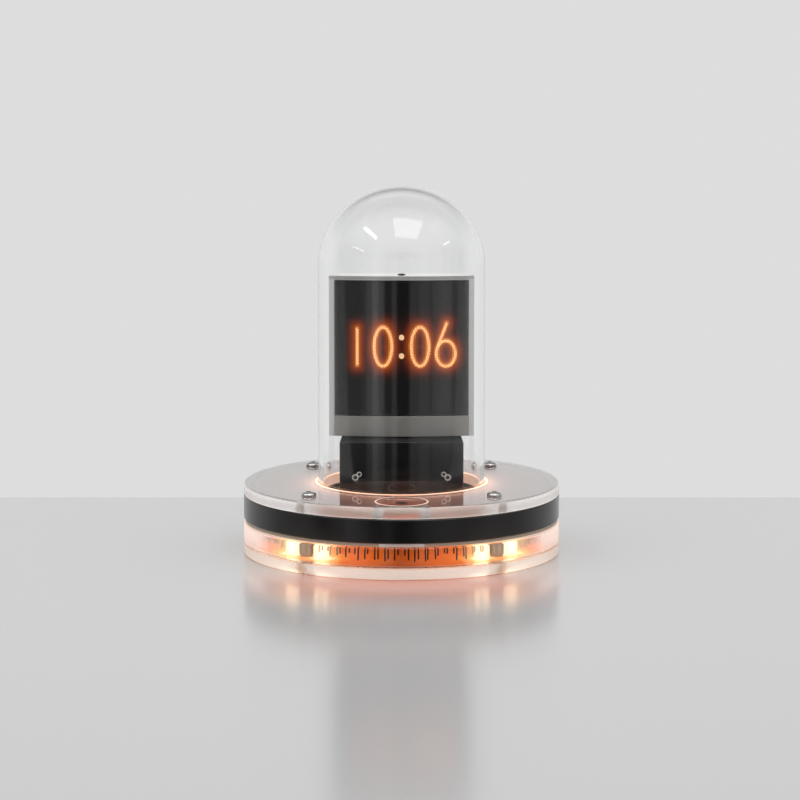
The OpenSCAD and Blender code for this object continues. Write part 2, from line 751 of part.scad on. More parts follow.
// A round wire bent to an oval in the X-Z plane: w by h to the wire's outside
module oval_wire(w, h) {
    a = w / 2 - wire_r;
    b = h / 2 - wire_r;
    n = oval_steps;
    m = wire_sides;
    points = [for (i = [0 : n - 1]) let (t = 360 * i / n, nx = b * cos(t), nz = a * sin(t),
            len = sqrt(nx * nx + nz * nz))
        for (j = [0 : m - 1]) let (u = 360 * j / m, out = wire_r * cos(u) / len)
            [a * cos(t) + nx * out, wire_r * sin(u), b * sin(t) + nz * out]];
    quads = [for (i = [0 : n - 1], j = [0 : m - 1])
        [i * m + j, i * m + (j + 1) % m, ((i + 1) % n) * m + (j + 1) % m, ((i + 1) % n) * m + j]];
    polyhedron(points, [for (q = quads, k = [0, 1]) [q[0], q[k + 2], q[k + 1]]]);
}

// A foot that holds a wire off the numeral plate
module wire_foot() rotate([-90, 0, 0]) cylinder(r = wire_r * 0.7, h = plate_front - wire_y);

// Copies at a numeral's place, counted from the left
module at_digit(x) translate([x, wire_y, z_digits]) children();

module zero() {
    oval_wire(digit_w, digit_h);
    for (side = [-1, 1]) translate([0, 0, side * (digit_h / 2 - wire_r)]) wire_foot();
}

module hours_tens() color(glow) at_digit(-colon_side - digit_pitch) {
    half = digit_h / 2 - wire_d;
    translate([0, 0, -half]) cylinder(r = wire_r, h = 2 * half);
    for (side = [-1, 1]) translate([0, 0, side * half]) sphere(r = wire_r);
    for (side = [-1, 1]) translate([0, 0, side * (half - wire_d)]) wire_foot();
}

module hours_units() color(glow) at_digit(-colon_side) zero();

module minutes_tens() color(glow) at_digit(colon_side) zero();

// A six: an oval bowl with a straight stem that leans over it
module minutes_units() color(glow) at_digit(colon_side + digit_pitch) {
    bowl_h = digit_h * 0.68;
    bowl_z = (bowl_h - digit_h) / 2;
    touch = [-digit_w * 0.4, bowl_z + bowl_h * 0.22];
    tip = [digit_w * 0.04, digit_h * 0.556];
    lean = atan2(tip[0] - touch[0], tip[1] - touch[1]);
    translate([0, 0, bowl_z]) oval_wire(digit_w * 1.06, bowl_h);
    translate([touch[0], 0, touch[1]]) rotate([0, lean, 0])
        cylinder(r = wire_r, h = norm(tip - touch));
    translate([tip[0], 0, tip[1]]) sphere(r = wire_r);
    translate([tip[0] - wire_d * sin(lean), 0, tip[1] - wire_d * cos(lean)]) wire_foot();
    translate([0, 0, bowl_z - bowl_h / 2 + wire_r]) wire_foot();
}

module colon_dots() color(glow) for (side = [-1, 1])
    translate([0, wire_y - wire_r, z_digits + side * digit_h * 0.22]) rotate([-90, 0, 0])
        cylinder(d = dot_d, h = plate_front - wire_y + wire_r);

module display_board() color([0.12, 0.25, 0.16])
    translate([-head_in_w / 2 + display_board_inset, plate_rear, z_display_board])
        cube([head_in_w - 2 * display_board_inset, display_board_t,
            z_screen_top - block - display_board_inset - z_display_board]);

module display_chips() color(black) for (x = display_chips_x)
    translate([x, plate_rear + display_board_t, z_digits]) rotate([-90, 0, 0]) chip();

module cable_header() color([0.9, 0.89, 0.87])
    translate([-cable_header_w / 2, plate_rear, header_low])
        cube([cable_header_w, cable_header_deep, cable_header_h]);

module head_back() color(steel) difference() {
    translate([-head_in_w / 2 + fit, back_in, z_head + head_floor_t + fit])
        cube([head_in_w - 2 * fit, back_t, z_screen_top - z_head - head_floor_t - 2 * fit]);
    back_screw_holes(back_screw_r + play / 2, fit);
    for (i = [0 : vents - 1]) translate([(i - (vents - 1) / 2) * vent_step, 0, z_digits])
        standing(back_in - cut, back_t + 2 * cut) rotate(90) slot_outline(vent_len, vent_w);
}

module back_screws() color(steel)
    for (x = [-1, 1], z = [z_head + head_floor_t + block / 2, z_screen_top - block / 2])
        translate([x * (head_in_w - block) / 2, head_rear, z]) rotate([-90, 0, 0])
            domed_screw(back_screw_r, back_t + back_screw_in, back_head_r, back_head_h, back_hex);

module cap_screw() color(steel) translate([0, head_y, z_head_top])
    domed_screw(cap_screw_r, strip_top, cap_head_r, cap_head_h, clamp_hex);

bottom_plate();
bottom_screws();
light_band();
standoffs();
circuit_board();
lead_pins();
chamber_lamps();
edge_header();
housing_ring();
deck_plate();
top_plate();
top_screws();
rim_light();
button_light();
push_button();
switch_plunger();
button_switch();
driver_resistors();
control_chips();
capacitors();
supply_coil();
cell_holder();
backup_cell();
power_socket();
socket_tongue();
set_switches();
set_button_left();
set_button_right();
dome_seal();
glass_dome();
neck_shell();
neck_foot();
foot_screws();
neck_screws();
lock_screws();
neck_post();
post_nut();
display_cable();
head_washer();
head_nut();
head_frame();
chin_band();
screen_glass();
numeral_plate();
hours_tens();
hours_units();
colon_dots();
minutes_tens();
minutes_units();
display_board();
display_chips();
cable_header();
head_back();
back_screws();
cap_screw();
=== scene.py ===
# Desk clock under a glass dome: finishes, fine pieces, floor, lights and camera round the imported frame.
import json
import math
import random

import bmesh
import bpy
from mathutils import Matrix, Vector


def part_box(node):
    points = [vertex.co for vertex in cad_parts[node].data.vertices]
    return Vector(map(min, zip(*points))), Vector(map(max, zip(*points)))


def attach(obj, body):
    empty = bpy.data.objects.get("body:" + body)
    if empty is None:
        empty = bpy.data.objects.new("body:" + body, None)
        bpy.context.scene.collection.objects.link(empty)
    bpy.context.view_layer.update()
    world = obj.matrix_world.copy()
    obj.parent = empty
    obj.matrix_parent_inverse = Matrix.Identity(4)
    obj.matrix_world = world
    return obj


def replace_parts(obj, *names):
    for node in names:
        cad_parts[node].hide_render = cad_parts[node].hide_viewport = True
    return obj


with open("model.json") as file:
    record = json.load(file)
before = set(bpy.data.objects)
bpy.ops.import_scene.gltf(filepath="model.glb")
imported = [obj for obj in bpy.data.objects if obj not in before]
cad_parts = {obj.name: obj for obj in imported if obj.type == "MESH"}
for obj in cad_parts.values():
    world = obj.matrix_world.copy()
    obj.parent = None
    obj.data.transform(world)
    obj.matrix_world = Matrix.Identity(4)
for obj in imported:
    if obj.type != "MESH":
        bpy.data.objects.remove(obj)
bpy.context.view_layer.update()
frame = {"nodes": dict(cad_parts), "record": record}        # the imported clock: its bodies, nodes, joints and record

mm = 0.001
weldWithin = 1e-6        # points closer than this become one


def added(name, data):
    # a new object in the scene
    holder = bpy.data.objects.new(name, data)
    bpy.context.collection.objects.link(holder)
    return holder


def meshOf(name, shape, finish):
    mesh = bpy.data.meshes.new(name)
    shape.to_mesh(mesh)
    shape.free()
    mesh.materials.append(finish)
    return mesh


def finished(name, shape, finish, body, smoothAngle=0.6):
    # turns a bmesh into a piece of the clock, smooth up to an angle, riding on a body
    mesh = meshOf(name, shape, finish)
    mesh.polygons.foreach_set("use_smooth", [True] * len(mesh.polygons))
    mesh.set_sharp_from_angle(angle=smoothAngle)
    piece = added(name, mesh)
    weighted = piece.modifiers.new("weighted", "WEIGHTED_NORMAL")  # keeps flat and straight faces flat
    weighted.keep_sharp = True
    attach(piece, body)
    return piece


def copyOf(node):
    # a node's loose triangles, merged
    shape = bmesh.new()
    shape.from_mesh(frame["nodes"][node].data)
    bmesh.ops.remove_doubles(shape, verts=shape.verts, dist=weldWithin)
    return shape


def joinFlats(shape):
    bmesh.ops.dissolve_limit(shape, angle_limit=0.005, verts=shape.verts, edges=shape.edges)


def roundOff(shape, width, steps=2, sharpAngle=0.5):
    sharp = [e for e in shape.edges if len(e.link_faces) == 2 and e.calc_face_angle(0) > sharpAngle]
    bmesh.ops.bevel(shape, geom=sharp, offset=width, offset_type="OFFSET", affect="EDGES", segments=steps,
                    profile=0.5, material=-1, clamp_overlap=True)


def nameOf(node):
    words = node.split("_")
    return words[0] + "".join(word.capitalize() for word in words[1:])


def bodyOf(node):
    # the moving body that a node belongs to
    groups = frame["record"]["behaviour"]["bodies"]
    return next(body for body, nodes in groups.items() if node in nodes)


def refined(node, finish, rounding=0, steps=2, lift=0, shrink=0, name=None):
    # a merged copy of a node's mesh, its sharp edges rounded, that stands for the node
    shape = copyOf(node)
    joinFlats(shape)
    if rounding:
        roundOff(shape, rounding, steps)
    if shrink:
        low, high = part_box(node)
        bmesh.ops.scale(shape, vec=(1, 1, 1 - 2 * shrink / (high.z - low.z)), verts=shape.verts,
                        space=Matrix.Translation(-(low + high) / 2))
    if lift:
        bmesh.ops.translate(shape, vec=(0, 0, lift), verts=shape.verts)
    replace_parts(finished(name or nameOf(node), shape, finish, bodyOf(node)), node)


def spun(shape, centre, outline, steps):
    # adds an outline of (radius, height) spun about an upright axis; one that starts off the axis is closed
    corners = [shape.verts.new((centre.x + r, centre.y, z)) for r, z in outline]
    pairs = list(zip(corners, corners[1:]))
    if outline[0][0] > 0:
        pairs.append((corners[-1], corners[0]))
    edges = [shape.edges.new(pair) for pair in pairs]
    bmesh.ops.spin(shape, geom=corners + edges, cent=centre, axis=(0, 0, 1), angle=2 * math.pi, steps=steps,
                   use_merge=True)
    bmesh.ops.remove_doubles(shape, verts=shape.verts, dist=weldWithin)
    bmesh.ops.dissolve_degenerate(shape, dist=1e-7, edges=shape.edges)
    alongAxis = [e for e in shape.edges if not e.link_faces]
    bmesh.ops.delete(shape, geom=alongAxis, context="EDGES")
    bmesh.ops.recalc_face_normals(shape, faces=shape.faces)


def turned(name, outline, finish, body, steps, smoothAngle=0.6):
    # a piece spun about the clock's upright axis
    shape = bmesh.new()
    spun(shape, Vector(), outline, steps)
    return finished(name, shape, finish, body, smoothAngle)


def arc(centre, radii, start, end, count):
    # points (radius, height) along an ellipse's arc, angles in degrees
    angles = [math.radians(start + (end - start) * i / count) for i in range(count + 1)]
    return [(centre[0] + radii[0] * math.cos(a), centre[1] + radii[1] * math.sin(a)) for a in angles]


def wire(name, paths, radius, finish, closed=True, roundness=1):
    # round wires along lists of points, made a mesh
    curve = bpy.data.curves.new(name, "CURVE")
    curve.dimensions = "3D"
    curve.bevel_depth = radius
    curve.bevel_resolution = roundness
    curve.use_fill_caps = not closed
    for path in paths:
        spline = curve.splines.new("POLY")
        spline.points.add(len(path) - 1)
        for point, place in zip(spline.points, path):
            point.co = (*place, 1)
        spline.use_cyclic_u = closed
    holder = added(name + "Curve", curve)
    shape = bmesh.new()
    shape.from_mesh(bpy.data.meshes.new_from_object(holder))
    bpy.data.objects.remove(holder)
    bmesh.ops.remove_doubles(shape, verts=shape.verts, dist=1e-7)
    bmesh.ops.recalc_face_normals(shape, faces=shape.faces)
    return finished(name, shape, finish, "base", 1.0)


class Socket:
    # one output of a node; an operator adds the Math node that it stands for
    def __init__(self, look, output):
        self.look, self.output = look, output

    def __add__(self, other):
        return self.look.maths("ADD", self, other)

    def __sub__(self, other):
        return self.look.maths("SUBTRACT", self, other)

    def __rsub__(self, other):
        return self.look.maths("SUBTRACT", other, self)

    def __mul__(self, other):
        return self.look.maths("MULTIPLY", self, other)

    def __truediv__(self, other):
        return self.look.maths("DIVIDE", self, other)

    def __rtruediv__(self, other):
        return self.look.maths("DIVIDE", other, self)

    def __abs__(self):
        return self.look.maths("ABSOLUTE", self)

    __radd__, __rmul__ = __add__, __mul__


class Finish:
    # one material or world; node() adds any node to it
    def __init__(self, owner, ending="ShaderNodeOutputMaterial"):
        self.owner = owner
        owner.use_nodes = True
        self.tree = owner.node_tree
        self.tree.nodes.clear()
        self.end = self.tree.nodes.new(ending)
        self.point = None

    def node(self, kind, settings=None, values=None, output=0):
        made = self.tree.nodes.new(kind)
        for name, setting in (settings or {}).items():
            setattr(made, name, setting)
        for name, value in (values or {}).items():
            if isinstance(value, Socket):
                self.tree.links.new(value.output, made.inputs[name])
            else:
                made.inputs[name].default_value = value
        return Socket(self, made.outputs[output])

    def maths(self, operation, *values):
        return self.node("ShaderNodeMath", {"operation": operation}, dict(enumerate(values)))

    def distance(self, *legs):
        # the length of a line from its legs along the axes
        return self.maths("SQRT", sum(leg * leg for leg in legs))

    def fallOff(self, away, reach):
        # 1 where away is 0, a little over a third at reach
        return self.maths("EXPONENT", away * (-1 / reach))

    def parts(self, vector):
        split = self.node("ShaderNodeSeparateXYZ", values={"Vector": vector}).output.node
        return [Socket(self, output) for output in split.outputs]

    def place(self):
        # the point's place on the object, shared by all patterns of the finish
        self.point = self.point or self.node("ShaderNodeTexCoord", output="Object")
        return self.point

    def axes(self):
        # x, y and z of the point, in millimetres
        return [part * 1000 for part in self.parts(self.place())]

    def height(self):
        return self.axes()[2]

    def radius(self):
        # distance from the clock's upright axis, in millimetres
        return self.distance(*self.axes()[:2])

    def facing(self):
        # x, y and z of the way that the surface faces
        return self.parts(self.node("ShaderNodeNewGeometry", output="Normal"))

    def alongView(self):
        # 0 where the surface faces the viewer, 1 where it is seen along its length
        return self.node("ShaderNodeLayerWeight", values={"Blend": 0.5}, output="Facing")

    def ray(self, kind):
        return self.node("ShaderNodeLightPath", output=kind)

    def noise(self, scale, detail=3, stretch=(1, 1, 1), roughness=0.5):
        place = self.node("ShaderNodeMapping", values={"Vector": self.place(), "Scale": stretch})
        return self.node("ShaderNodeTexNoise", values={
            "Vector": place, "Scale": scale, "Detail": detail, "Roughness": roughness})

    def between(self, value, low, high, toLow=0.0, toHigh=1.0):
        return self.node("ShaderNodeMapRange", {"clamp": True}, {
            "Value": value, "From Min": low, "From Max": high, "To Min": toLow, "To Max": toHigh})

    def blend(self, factor, first, second):
        # a colour between two colours
        return self.node("ShaderNodeMix", {"data_type": "RGBA"}, {0: factor, 6: first, 7: second}, output=2)

    def ramp(self, factor, stops):
        made = self.node("ShaderNodeValToRGB", values={"Fac": factor})
        elements = made.output.node.color_ramp.elements
        while len(elements) < len(stops):
            elements.new(0.5)
        for element, (position, colour) in zip(elements, stops):
            element.position = position
            element.color = (*colour, 1)
        return made

    def bump(self, height, strength, distance):
        return self.node("ShaderNodeBump", values={
            "Height": height, "Strength": strength, "Distance": distance})

    def endIn(self, shader):
        self.tree.links.new(shader.output, self.end.inputs["Surface"])

    def surface(self, colour, rough, values=None, glow=None, strength=1.0, lights=False, passesLight=None):
        # ends the finish in one Principled surface and gives its material; only a glow that lights its
        # surroundings is sampled as a lamp, and glass may pass the lamps' light on, tinted by a colour
        values = {"Base Color": colour, "Roughness": rough, **(values or {})}
        if glow:
            values.update({"Emission Color": glow, "Emission Strength": strength})
        shader = self.node("ShaderNodeBsdfPrincipled", values=values)
        self.owner.cycles.emission_sampling = "AUTO" if lights else "NONE"
        if passesLight:
            shadow = self.ray("Is Shadow Ray")
            through = self.node("ShaderNodeBsdfTransparent", values={"Color": passesLight})
            shader = self.node("ShaderNodeMixShader", values={0: shadow, 1: shader, 2: through})
        self.endIn(shader)
        return self.owner


def newFinish(name, slot):
    material = bpy.data.materials.new(name)
    material["slot"] = slot
    return Finish(material)


def rgb(r, g, b):
    return (r, g, b, 1)


def grey(v):
    return rgb(v, v, v)


def shaded(colour, share):
    return rgb(*(c * share for c in colour[:3]))


unlit = grey(0)
acrylicLook = {"tint": rgb(0.97, 0.955, 0.94), "ior": 1.49, "smudge": 0.03, "smudgeScale": 45}
cornerAt = 46.0           # mm; the standoffs stand at this x and y, left and right, front and rear
lampAt = (52.25, 38.66)   # mm; a lamp stands at this x and y, and one at the same places exchanged
plateRim = (79.2, 79.7)   # mm from the axis; a plate's upright edge lies beyond these


def lampGlow(look, reach):
    # 1 at the lamps, falling off with the distance in mm
    side, ahead = [abs(leg) for leg in look.axes()[:2]]
    first = look.distance(side - lampAt[0], ahead - lampAt[1])
    second = look.distance(side - lampAt[1], ahead - lampAt[0])
    return look.fallOff(look.maths("MINIMUM", first, second), reach)


def alongRing(look):
    # how far, in mm, a point of the ring is to the side of the standoff, each quarter along its own side
    side, ahead = [abs(leg) for leg in look.axes()[:2]]
    inner = look.maths("MINIMUM", side, ahead) - cornerAt
    outer = look.maths("MAXIMUM", side, ahead) - cornerAt
    front = look.between(ahead - side, -0.1, 0.1)
    return abs(inner * front + outer * (1 - front))


def besideStandoffs(look):
    # 1 where the ring stands before a lamp, 0 before the standoff between two lamps, fading away from both
    along = alongRing(look)
    return look.between(along, 3.6, 5.5) * look.between(along, 8.0, 17.0, 1, 0)


def clearAcrylic(name, slot, glow=None, strength=0.0, tint=acrylicLook["tint"], clearness=1.0, satin=None):
    # acrylic with faint wiping marks, milky where less clear; tint may be a function of the look, satin adds
    # to the roughness, and glow is painted light: an emission that stands for the light that it pipes
    look = newFinish(name, slot)
    marks = look.noise(acrylicLook["smudgeScale"], 5, (1, 0.4, 1))
    roughness = look.between(marks, 0.52, 0.75, 0.0, acrylicLook["smudge"])
    if satin:
        roughness = roughness + satin(look)
    return look.surface(tint(look) if callable(tint) else tint, roughness,
                        {"Transmission Weight": clearness, "IOR": acrylicLook["ior"]},
                        glow(look) if glow else None, strength)


def edgeSatin(look):
    # the sawn and sanded edge of a round plate
    return look.between(look.radius(), 79.4, 79.9, 0.0, 0.3)


def bandSatin(look):
    # the ring is clear face on and satin along its wall
    return look.between(look.alongView(), 0.28, 0.6, 0.0, 0.3)


def bandGlow(look):
    # painted light: amber white by the lamps and brightest at the standoffs, with a pale painted glow
    # where the ring is seen along its wall
    wall = look.between(abs(look.facing()[2]), 0.4, 0.8, 1, 0)
    streaks = look.between(look.noise(500, 2, (1, 1, 0.02)), 0.35, 0.65, 0.8, 1.0)
    grazingGlow = look.between(look.alongView(), 0.12, 0.5) * wall * streaks
    pale = look.blend(grazingGlow, unlit, rgb(0.8, 0.58, 0.48))
    patches = look.blend(besideStandoffs(look) * wall * streaks, pale, rgb(1.0, 0.72, 0.38))
    atStandoffs = look.fallOff(look.distance(*[abs(leg) - cornerAt for leg in look.axes()[:2]]), 5.0)
    return look.blend(atStandoffs, patches, rgb(1.6, 1.2, 0.7))


def footGlow(look):
    # painted light: the bottom plate is given light from above, most of all under the lamps, and a painted
    # highlight on its lower rim beside the standoffs; before the standoffs' screws it is left dark, as painted shade
    lit = look.blend(lampGlow(look, 12.0), rgb(0.28, 0.22, 0.195), rgb(1.1, 0.85, 0.68))
    low = look.between(look.height(), 1.0, 2.5, 0.8, 0.0)
    rim = look.between(look.radius(), *plateRim)
    rimHighlight = look.blend(besideStandoffs(look) * rim * low, lit, rgb(1.7, 1.6, 1.2))
    # painted shade: a dark column with no glow before each standoff
    standoffShade = look.between(alongRing(look), 2.4, 3.6, 1, 0) * look.between(look.radius(), 58, 64)
    return look.blend(standoffShade, rimHighlight, unlit)


def footTint(look):
    # a little green at the sawn edge, amber just under the chamber's film
    return look.blend(look.between(look.height(), 4.6, 5.8), rgb(0.92, 0.97, 0.93), rgb(1.0, 0.66, 0.46))


def plateGlow(look):
    # painted light: the top plate's edge is given, as emission, the room's light that it gathers: brightest at its
    # lips and seen along its wall
    z = look.height()
    lips = look.between(z, 33.4, 35.4, 0.0, 0.18) + look.between(z, 30.4, 31.0, 0.16, 0.0)
    side = look.between(look.alongView(), 0.1, 0.6, 0.03, 0.17)
    return look.blend(look.between(look.radius(), *plateRim) * (lips + side), unlit, rgb(1.0, 0.93, 0.89))


domeLook = {"tint": rgb(0.985, 0.99, 0.985), "ior": 1.47, "passes": grey(0.92)}


def domeGlass():
    # blown glass: clear, its surface a little uneven and dusty
    look = newFinish("domeGlass", "dome_glass")
    waves = look.noise(30, 2, (1, 1, 0.5))
    dust = look.noise(1400, 2)
    return look.surface(domeLook["tint"], look.between(dust, 0.6, 0.85, 0.0, 0.02), {
        "Transmission Weight": 1.0, "IOR": domeLook["ior"], "Normal": look.bump(waves, 0.05, 0.0003)},
        passesLight=domeLook["passes"])


def smokedGlass():
    look = newFinish("smokedGlass", "screen_glass")
    marks = look.noise(60, 4)
    return look.surface(rgb(0.5, 0.485, 0.48), look.between(marks, 0.5, 0.8, 0.0, 0.03),
                        {"Transmission Weight": 1.0, "IOR": 1.5})


satinLook = {"colour": rgb(0.004, 0.004, 0.0045), "worn": rgb(0.009, 0.009, 0.0095)}


def satinBlack(name, slot, roughness=0.2, gloss=0.5):
    # turned black metal: fine rings of tool marks under a satin coat
    look = newFinish(name, slot)
    grain = look.noise(2200, 3, (0.06, 0.06, 1))
    cloud = look.noise(70, 3)
    return look.surface(look.blend(cloud, satinLook["colour"], satinLook["worn"]),
                        look.between(cloud, 0.3, 0.7, roughness - 0.05, roughness + 0.06),
                        {"Specular IOR Level": gloss, "Normal": look.bump(grain, 0.12, 0.00005)})


deckLook = {"hole": 44, "buttonY": -62, "buttonRadius": 12,  # mm
            "pale": rgb(0.15, 0.115, 0.095), "paler": rgb(0.19, 0.15, 0.125), "glow": rgb(0.42, 0.10, 0.05),
            "rimGlow": rgb(1.5, 0.70, 0.46)}


def deckFinish():
    # black in the dome's hole; under the clear plate it is pale, with a painted glow of the edge lights spread
    # round the hole and the button
    look = newFinish("deckFinish", "black_deck")
    x, y = look.axes()[:2]
    fromHole = look.radius() - deckLook["hole"]
    fromButton = look.distance(x, y - deckLook["buttonY"]) - deckLook["buttonRadius"]
    under = look.between(fromHole, -0.2, 0.2)
    spread = look.between(look.fallOff(fromHole, 20) * 0.35 + look.fallOff(fromButton, 20) * 0.8, 0, 1.1)
    wide = look.blend(spread, unlit, deckLook["glow"])
    glow = look.blend(look.fallOff(fromHole, 4), wide, deckLook["rimGlow"])
    pale = look.blend(look.noise(1500, 3), deckLook["pale"], deckLook["paler"])
    return look.surface(look.blend(under, grey(0.006), pale), 0.5, glow=look.blend(under, unlit, glow))


def glossBlack():
    # polished black neck with a faint orange peel, duller on top
    look = newFinish("glossBlack", "black_gloss")
    peel = look.noise(450, 2)
    dust = look.noise(2600, 1)
    top = look.between(look.facing()[2], 0.6, 0.9, 0.0, 0.6)
    return look.surface(rgb(0.003, 0.003, 0.0035), look.between(dust, 0.62, 0.8, 0.05, 0.2) + top,
                        {"Specular IOR Level": 0.3, "Normal": look.bump(peel, 0.02, 0.0001)})


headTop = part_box("head_frame")[1].z / mm
brow = (headTop - 1.9, headTop - 1.6)   # the frame's bar over the screen lies above these heights


def brushedSteel(name, slot, colour, roughness, grainAxis=(0.02, 1, 1), metallic=0.8, topRoughness=None):
    # steel brushed along one axis; faces that look up may be smoother, and the front just below them has painted
    # shade
    look = newFinish(name, slot)
    grain = look.noise(1600, 3, grainAxis, 0.6)
    cloud = look.noise(90, 3)
    shown = look.blend(grain, shaded(colour, 0.95), colour)
    rough = look.between(cloud, 0.3, 0.7, roughness - 0.04, roughness + 0.05)
    ridges = grain
    metal = metallic
    if topRoughness is not None:
        ahead, upright = look.facing()[1:]
        top = look.between(upright, 0.5, 0.9)
        # painted shade: the front of the bar over the screen is darkened
        shade = look.between(look.height(), *brow) * look.between(ahead, -0.7, -0.5, 1, 0)
        shown = look.blend(shade * 0.35, shown, grey(0.05))
        rough = rough + top * (topRoughness - roughness)
        ridges = grain * (1 - top)
        metal = metallic + top * (1 - metallic)
    return look.surface(shown, rough, {"Metallic": metal, "Normal": look.bump(ridges, 0.04, 0.00003)})


def machinedMetal(name, slot, colour, roughness, metallic=1.0):
    # small turned metal parts
    look = newFinish(name, slot)
    grain = look.noise(5000, 2, (1, 1, 0.3))
    return look.surface(look.blend(look.noise(700, 3), shaded(colour, 0.7), colour),
                        look.between(grain, 0.3, 0.7, roughness - 0.06, roughness + 0.08),
                        {"Metallic": metallic})


def mouldedPlastic(name, slot, colour, roughness=0.45):
    # moulded plastic with a fine spark-eroded grain
    look = newFinish(name, slot)
    grain = look.noise(4200, 2)
    cloud = look.noise(300, 3)
    return look.surface(look.blend(cloud, shaded(colour, 0.82), colour), roughness,
                        {"Normal": look.bump(grain, 0.15, 0.00004)})


guideBody = (rgb(0.5, 0.42, 0.38), 0.35)  # the unlit guide's colour and roughness


def glowing(name, slot, colour, strength, spread=0.25, scale=60, shield=None):
    # a lit guide, a little uneven along its length; shield(look) darkens a side that is covered
    look = newFinish(name, slot)
    uneven = look.between(look.noise(scale, 2), 0.35, 0.65)
    shown = look.blend(uneven, shaded(colour, 1 - spread), colour)
    if shield:
        shown = look.blend(shield(look), shown, rgb(0.2, 0.12, 0.09))
    return look.surface(*guideBody, glow=shown, strength=strength)


def buttonSides(look):
    # 1 on the button guide's sides, below its top
    return look.between(look.height(), 35.8, 35.9, 1.0, 0.0)


def rimGlow():
    # the lit ring round the dome's hole: hottest on its top, dim on the outer side that the plate covers
    look = newFinish("rimGuide", "light_guide")
    uneven = look.between(look.noise(60, 2), 0.35, 0.65)
    inner = look.blend(uneven, rgb(0.62, 0.35, 0.25), rgb(0.80, 0.46, 0.33))
    outer = look.between(look.radius(), 43.75, 43.88)
    sides = look.blend(outer, inner, rgb(0.24, 0.14, 0.11))
    shown = look.blend(look.between(look.height(), 35.7, 35.85), sides, rgb(1.9, 0.98, 0.60))
    return look.surface(*guideBody, glow=shown, lights=True)


def lampAmber():
    # small lamps, hottest at the tip, dimmer at the flange
    look = newFinish("lampAmber", "lamp_amber")
    low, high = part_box("chamber_lamps")
    lampLight = look.between(look.height(), low.z / mm, high.z / mm, 1.0, 0.15)
    shown = look.blend(lampLight, rgb(0.9, 0.3, 0.05), rgb(1.0, 0.72, 0.36))
    return look.surface(rgb(0.9, 0.5, 0.15), 0.3, glow=shown, strength=5.0, lights=True)


def sleeveGlow():
    # frosted sleeves round the lamps with a painted glow, hottest in the middle of their width
    look = newFinish("sleeveGlow", "light_guide")
    frost = look.noise(900, 3)
    shown = look.blend(look.between(look.alongView(), 0.1, 0.75), rgb(1.0, 0.93, 0.74), rgb(1.0, 0.74, 0.44))
    cooler = look.blend(look.between(look.height(), 6.2, 9.5, 0.45, 0.0), shown, rgb(0.9, 0.62, 0.36))
    return look.surface(rgb(0.85, 0.76, 0.62), look.between(frost, 0.3, 0.7, 0.4, 0.6),
                        glow=cooler, strength=0.8, lights=True)


def amberFilm():
    # the chamber's amber floor, polished, with painted light: bright by the lamps and dark between them
    look = newFinish("amberFilm", "lamp_amber")
    grain = look.noise(260, 3)
    lampLight = lampGlow(look, 12.0) * look.between(grain, 0.3, 0.7, 0.85, 1.15)
    shown = look.ramp(lampLight, [
        (0.0, (0.38, 0.065, 0.006)), (0.03, (0.32, 0.045, 0.002)), (0.065, (0.50, 0.09, 0.004)),
        (0.13, (0.68, 0.105, 0.003)), (0.3, (0.80, 0.145, 0.005)), (0.57, (0.96, 0.34, 0.05)),
        (0.75, (1.0, 0.82, 0.45)), (1.0, (1.0, 0.95, 0.75))])
    return look.surface(rgb(0.04, 0.008, 0.001), look.between(grain, 0.3, 0.7, 0.04, 0.12),
                        {"Specular IOR Level": 0.08}, shown)


def fibreBoard():
    # circuit board: tan edge, lacquered underside with tracks, and painted light from the lamps on the underside
    look = newFinish("fibreBoard", "fibre_board")
    lines = look.node("ShaderNodeTexWave", {"wave_type": "RINGS", "rings_direction": "Z"},
                      {"Vector": look.place(), "Scale": 90, "Distortion": 3, "Detail": 2})
    tracks = look.between(lines, 0.82, 0.9)
    base = look.blend(look.noise(900, 2), rgb(0.16, 0.08, 0.03), rgb(0.22, 0.12, 0.05))
    inside = look.blend(tracks * 0.5, base, rgb(0.40, 0.22, 0.08))
    under = look.between(look.height(), 16.42, 16.5, 1.0, 0.0)
    lit = look.blend(lampGlow(look, 14.0) * under, unlit, rgb(1.0, 0.42, 0.1))
    edge = look.between(look.radius(), 78.0, 78.3)
    return look.surface(look.blend(edge, inside, rgb(0.52, 0.43, 0.33)), 0.42,
                        {"Normal": look.bump(tracks, 0.2, 0.00005)}, lit, 0.8)


def greenBoard():
    look = newFinish("greenBoard", "green_board")
    lines = look.node("ShaderNodeTexBrick", values={
        "Vector": look.place(), "Scale": 260, "Mortar Size": 0.06, "Mortar": rgb(0.05, 0.16, 0.07),
        "Color1": rgb(0.01, 0.07, 0.035), "Color2": rgb(0.012, 0.085, 0.04)})
    return look.surface(lines, look.between(look.noise(500), 0.3, 0.7, 0.3, 0.45))


def resistorBody():
    # tan bodies with painted bands, read along their height
    look = newFinish("resistorBody", "resistor_body")
    low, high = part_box("driver_resistors")
    tan, brown, black, gold = (0.6, 0.45, 0.27), (0.16, 0.05, 0.02), (0.02, 0.02, 0.02), (0.5, 0.33, 0.09)
    bands = look.ramp(look.between(look.height(), low.z / mm, high.z / mm), [
        (0.0, tan), (0.24, brown), (0.31, tan), (0.42, black), (0.49, tan), (0.6, brown), (0.67, tan),
        (0.78, gold), (0.85, tan)])
    bands.output.node.color_ramp.interpolation = "CONSTANT"
    return look.surface(bands, look.between(look.noise(900), 0.3, 0.7, 0.35, 0.5))


def capacitorSleeve():
    look = newFinish("capacitorSleeve", "capacitor_sleeve")
    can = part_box("capacitors")[1].z / mm
    top = look.between(look.height(), can - 0.3, can - 0.1)
    sleeve = look.blend(look.noise(200), rgb(0.015, 0.02, 0.06), rgb(0.02, 0.03, 0.09))
    return look.surface(look.blend(top, sleeve, grey(0.6)), 0.32, {"Metallic": top * 0.9})


jacketLook = {"axisY": -1.5, "strands": 8, "twist": 3.2}  # mm, strands each way, radians a mm


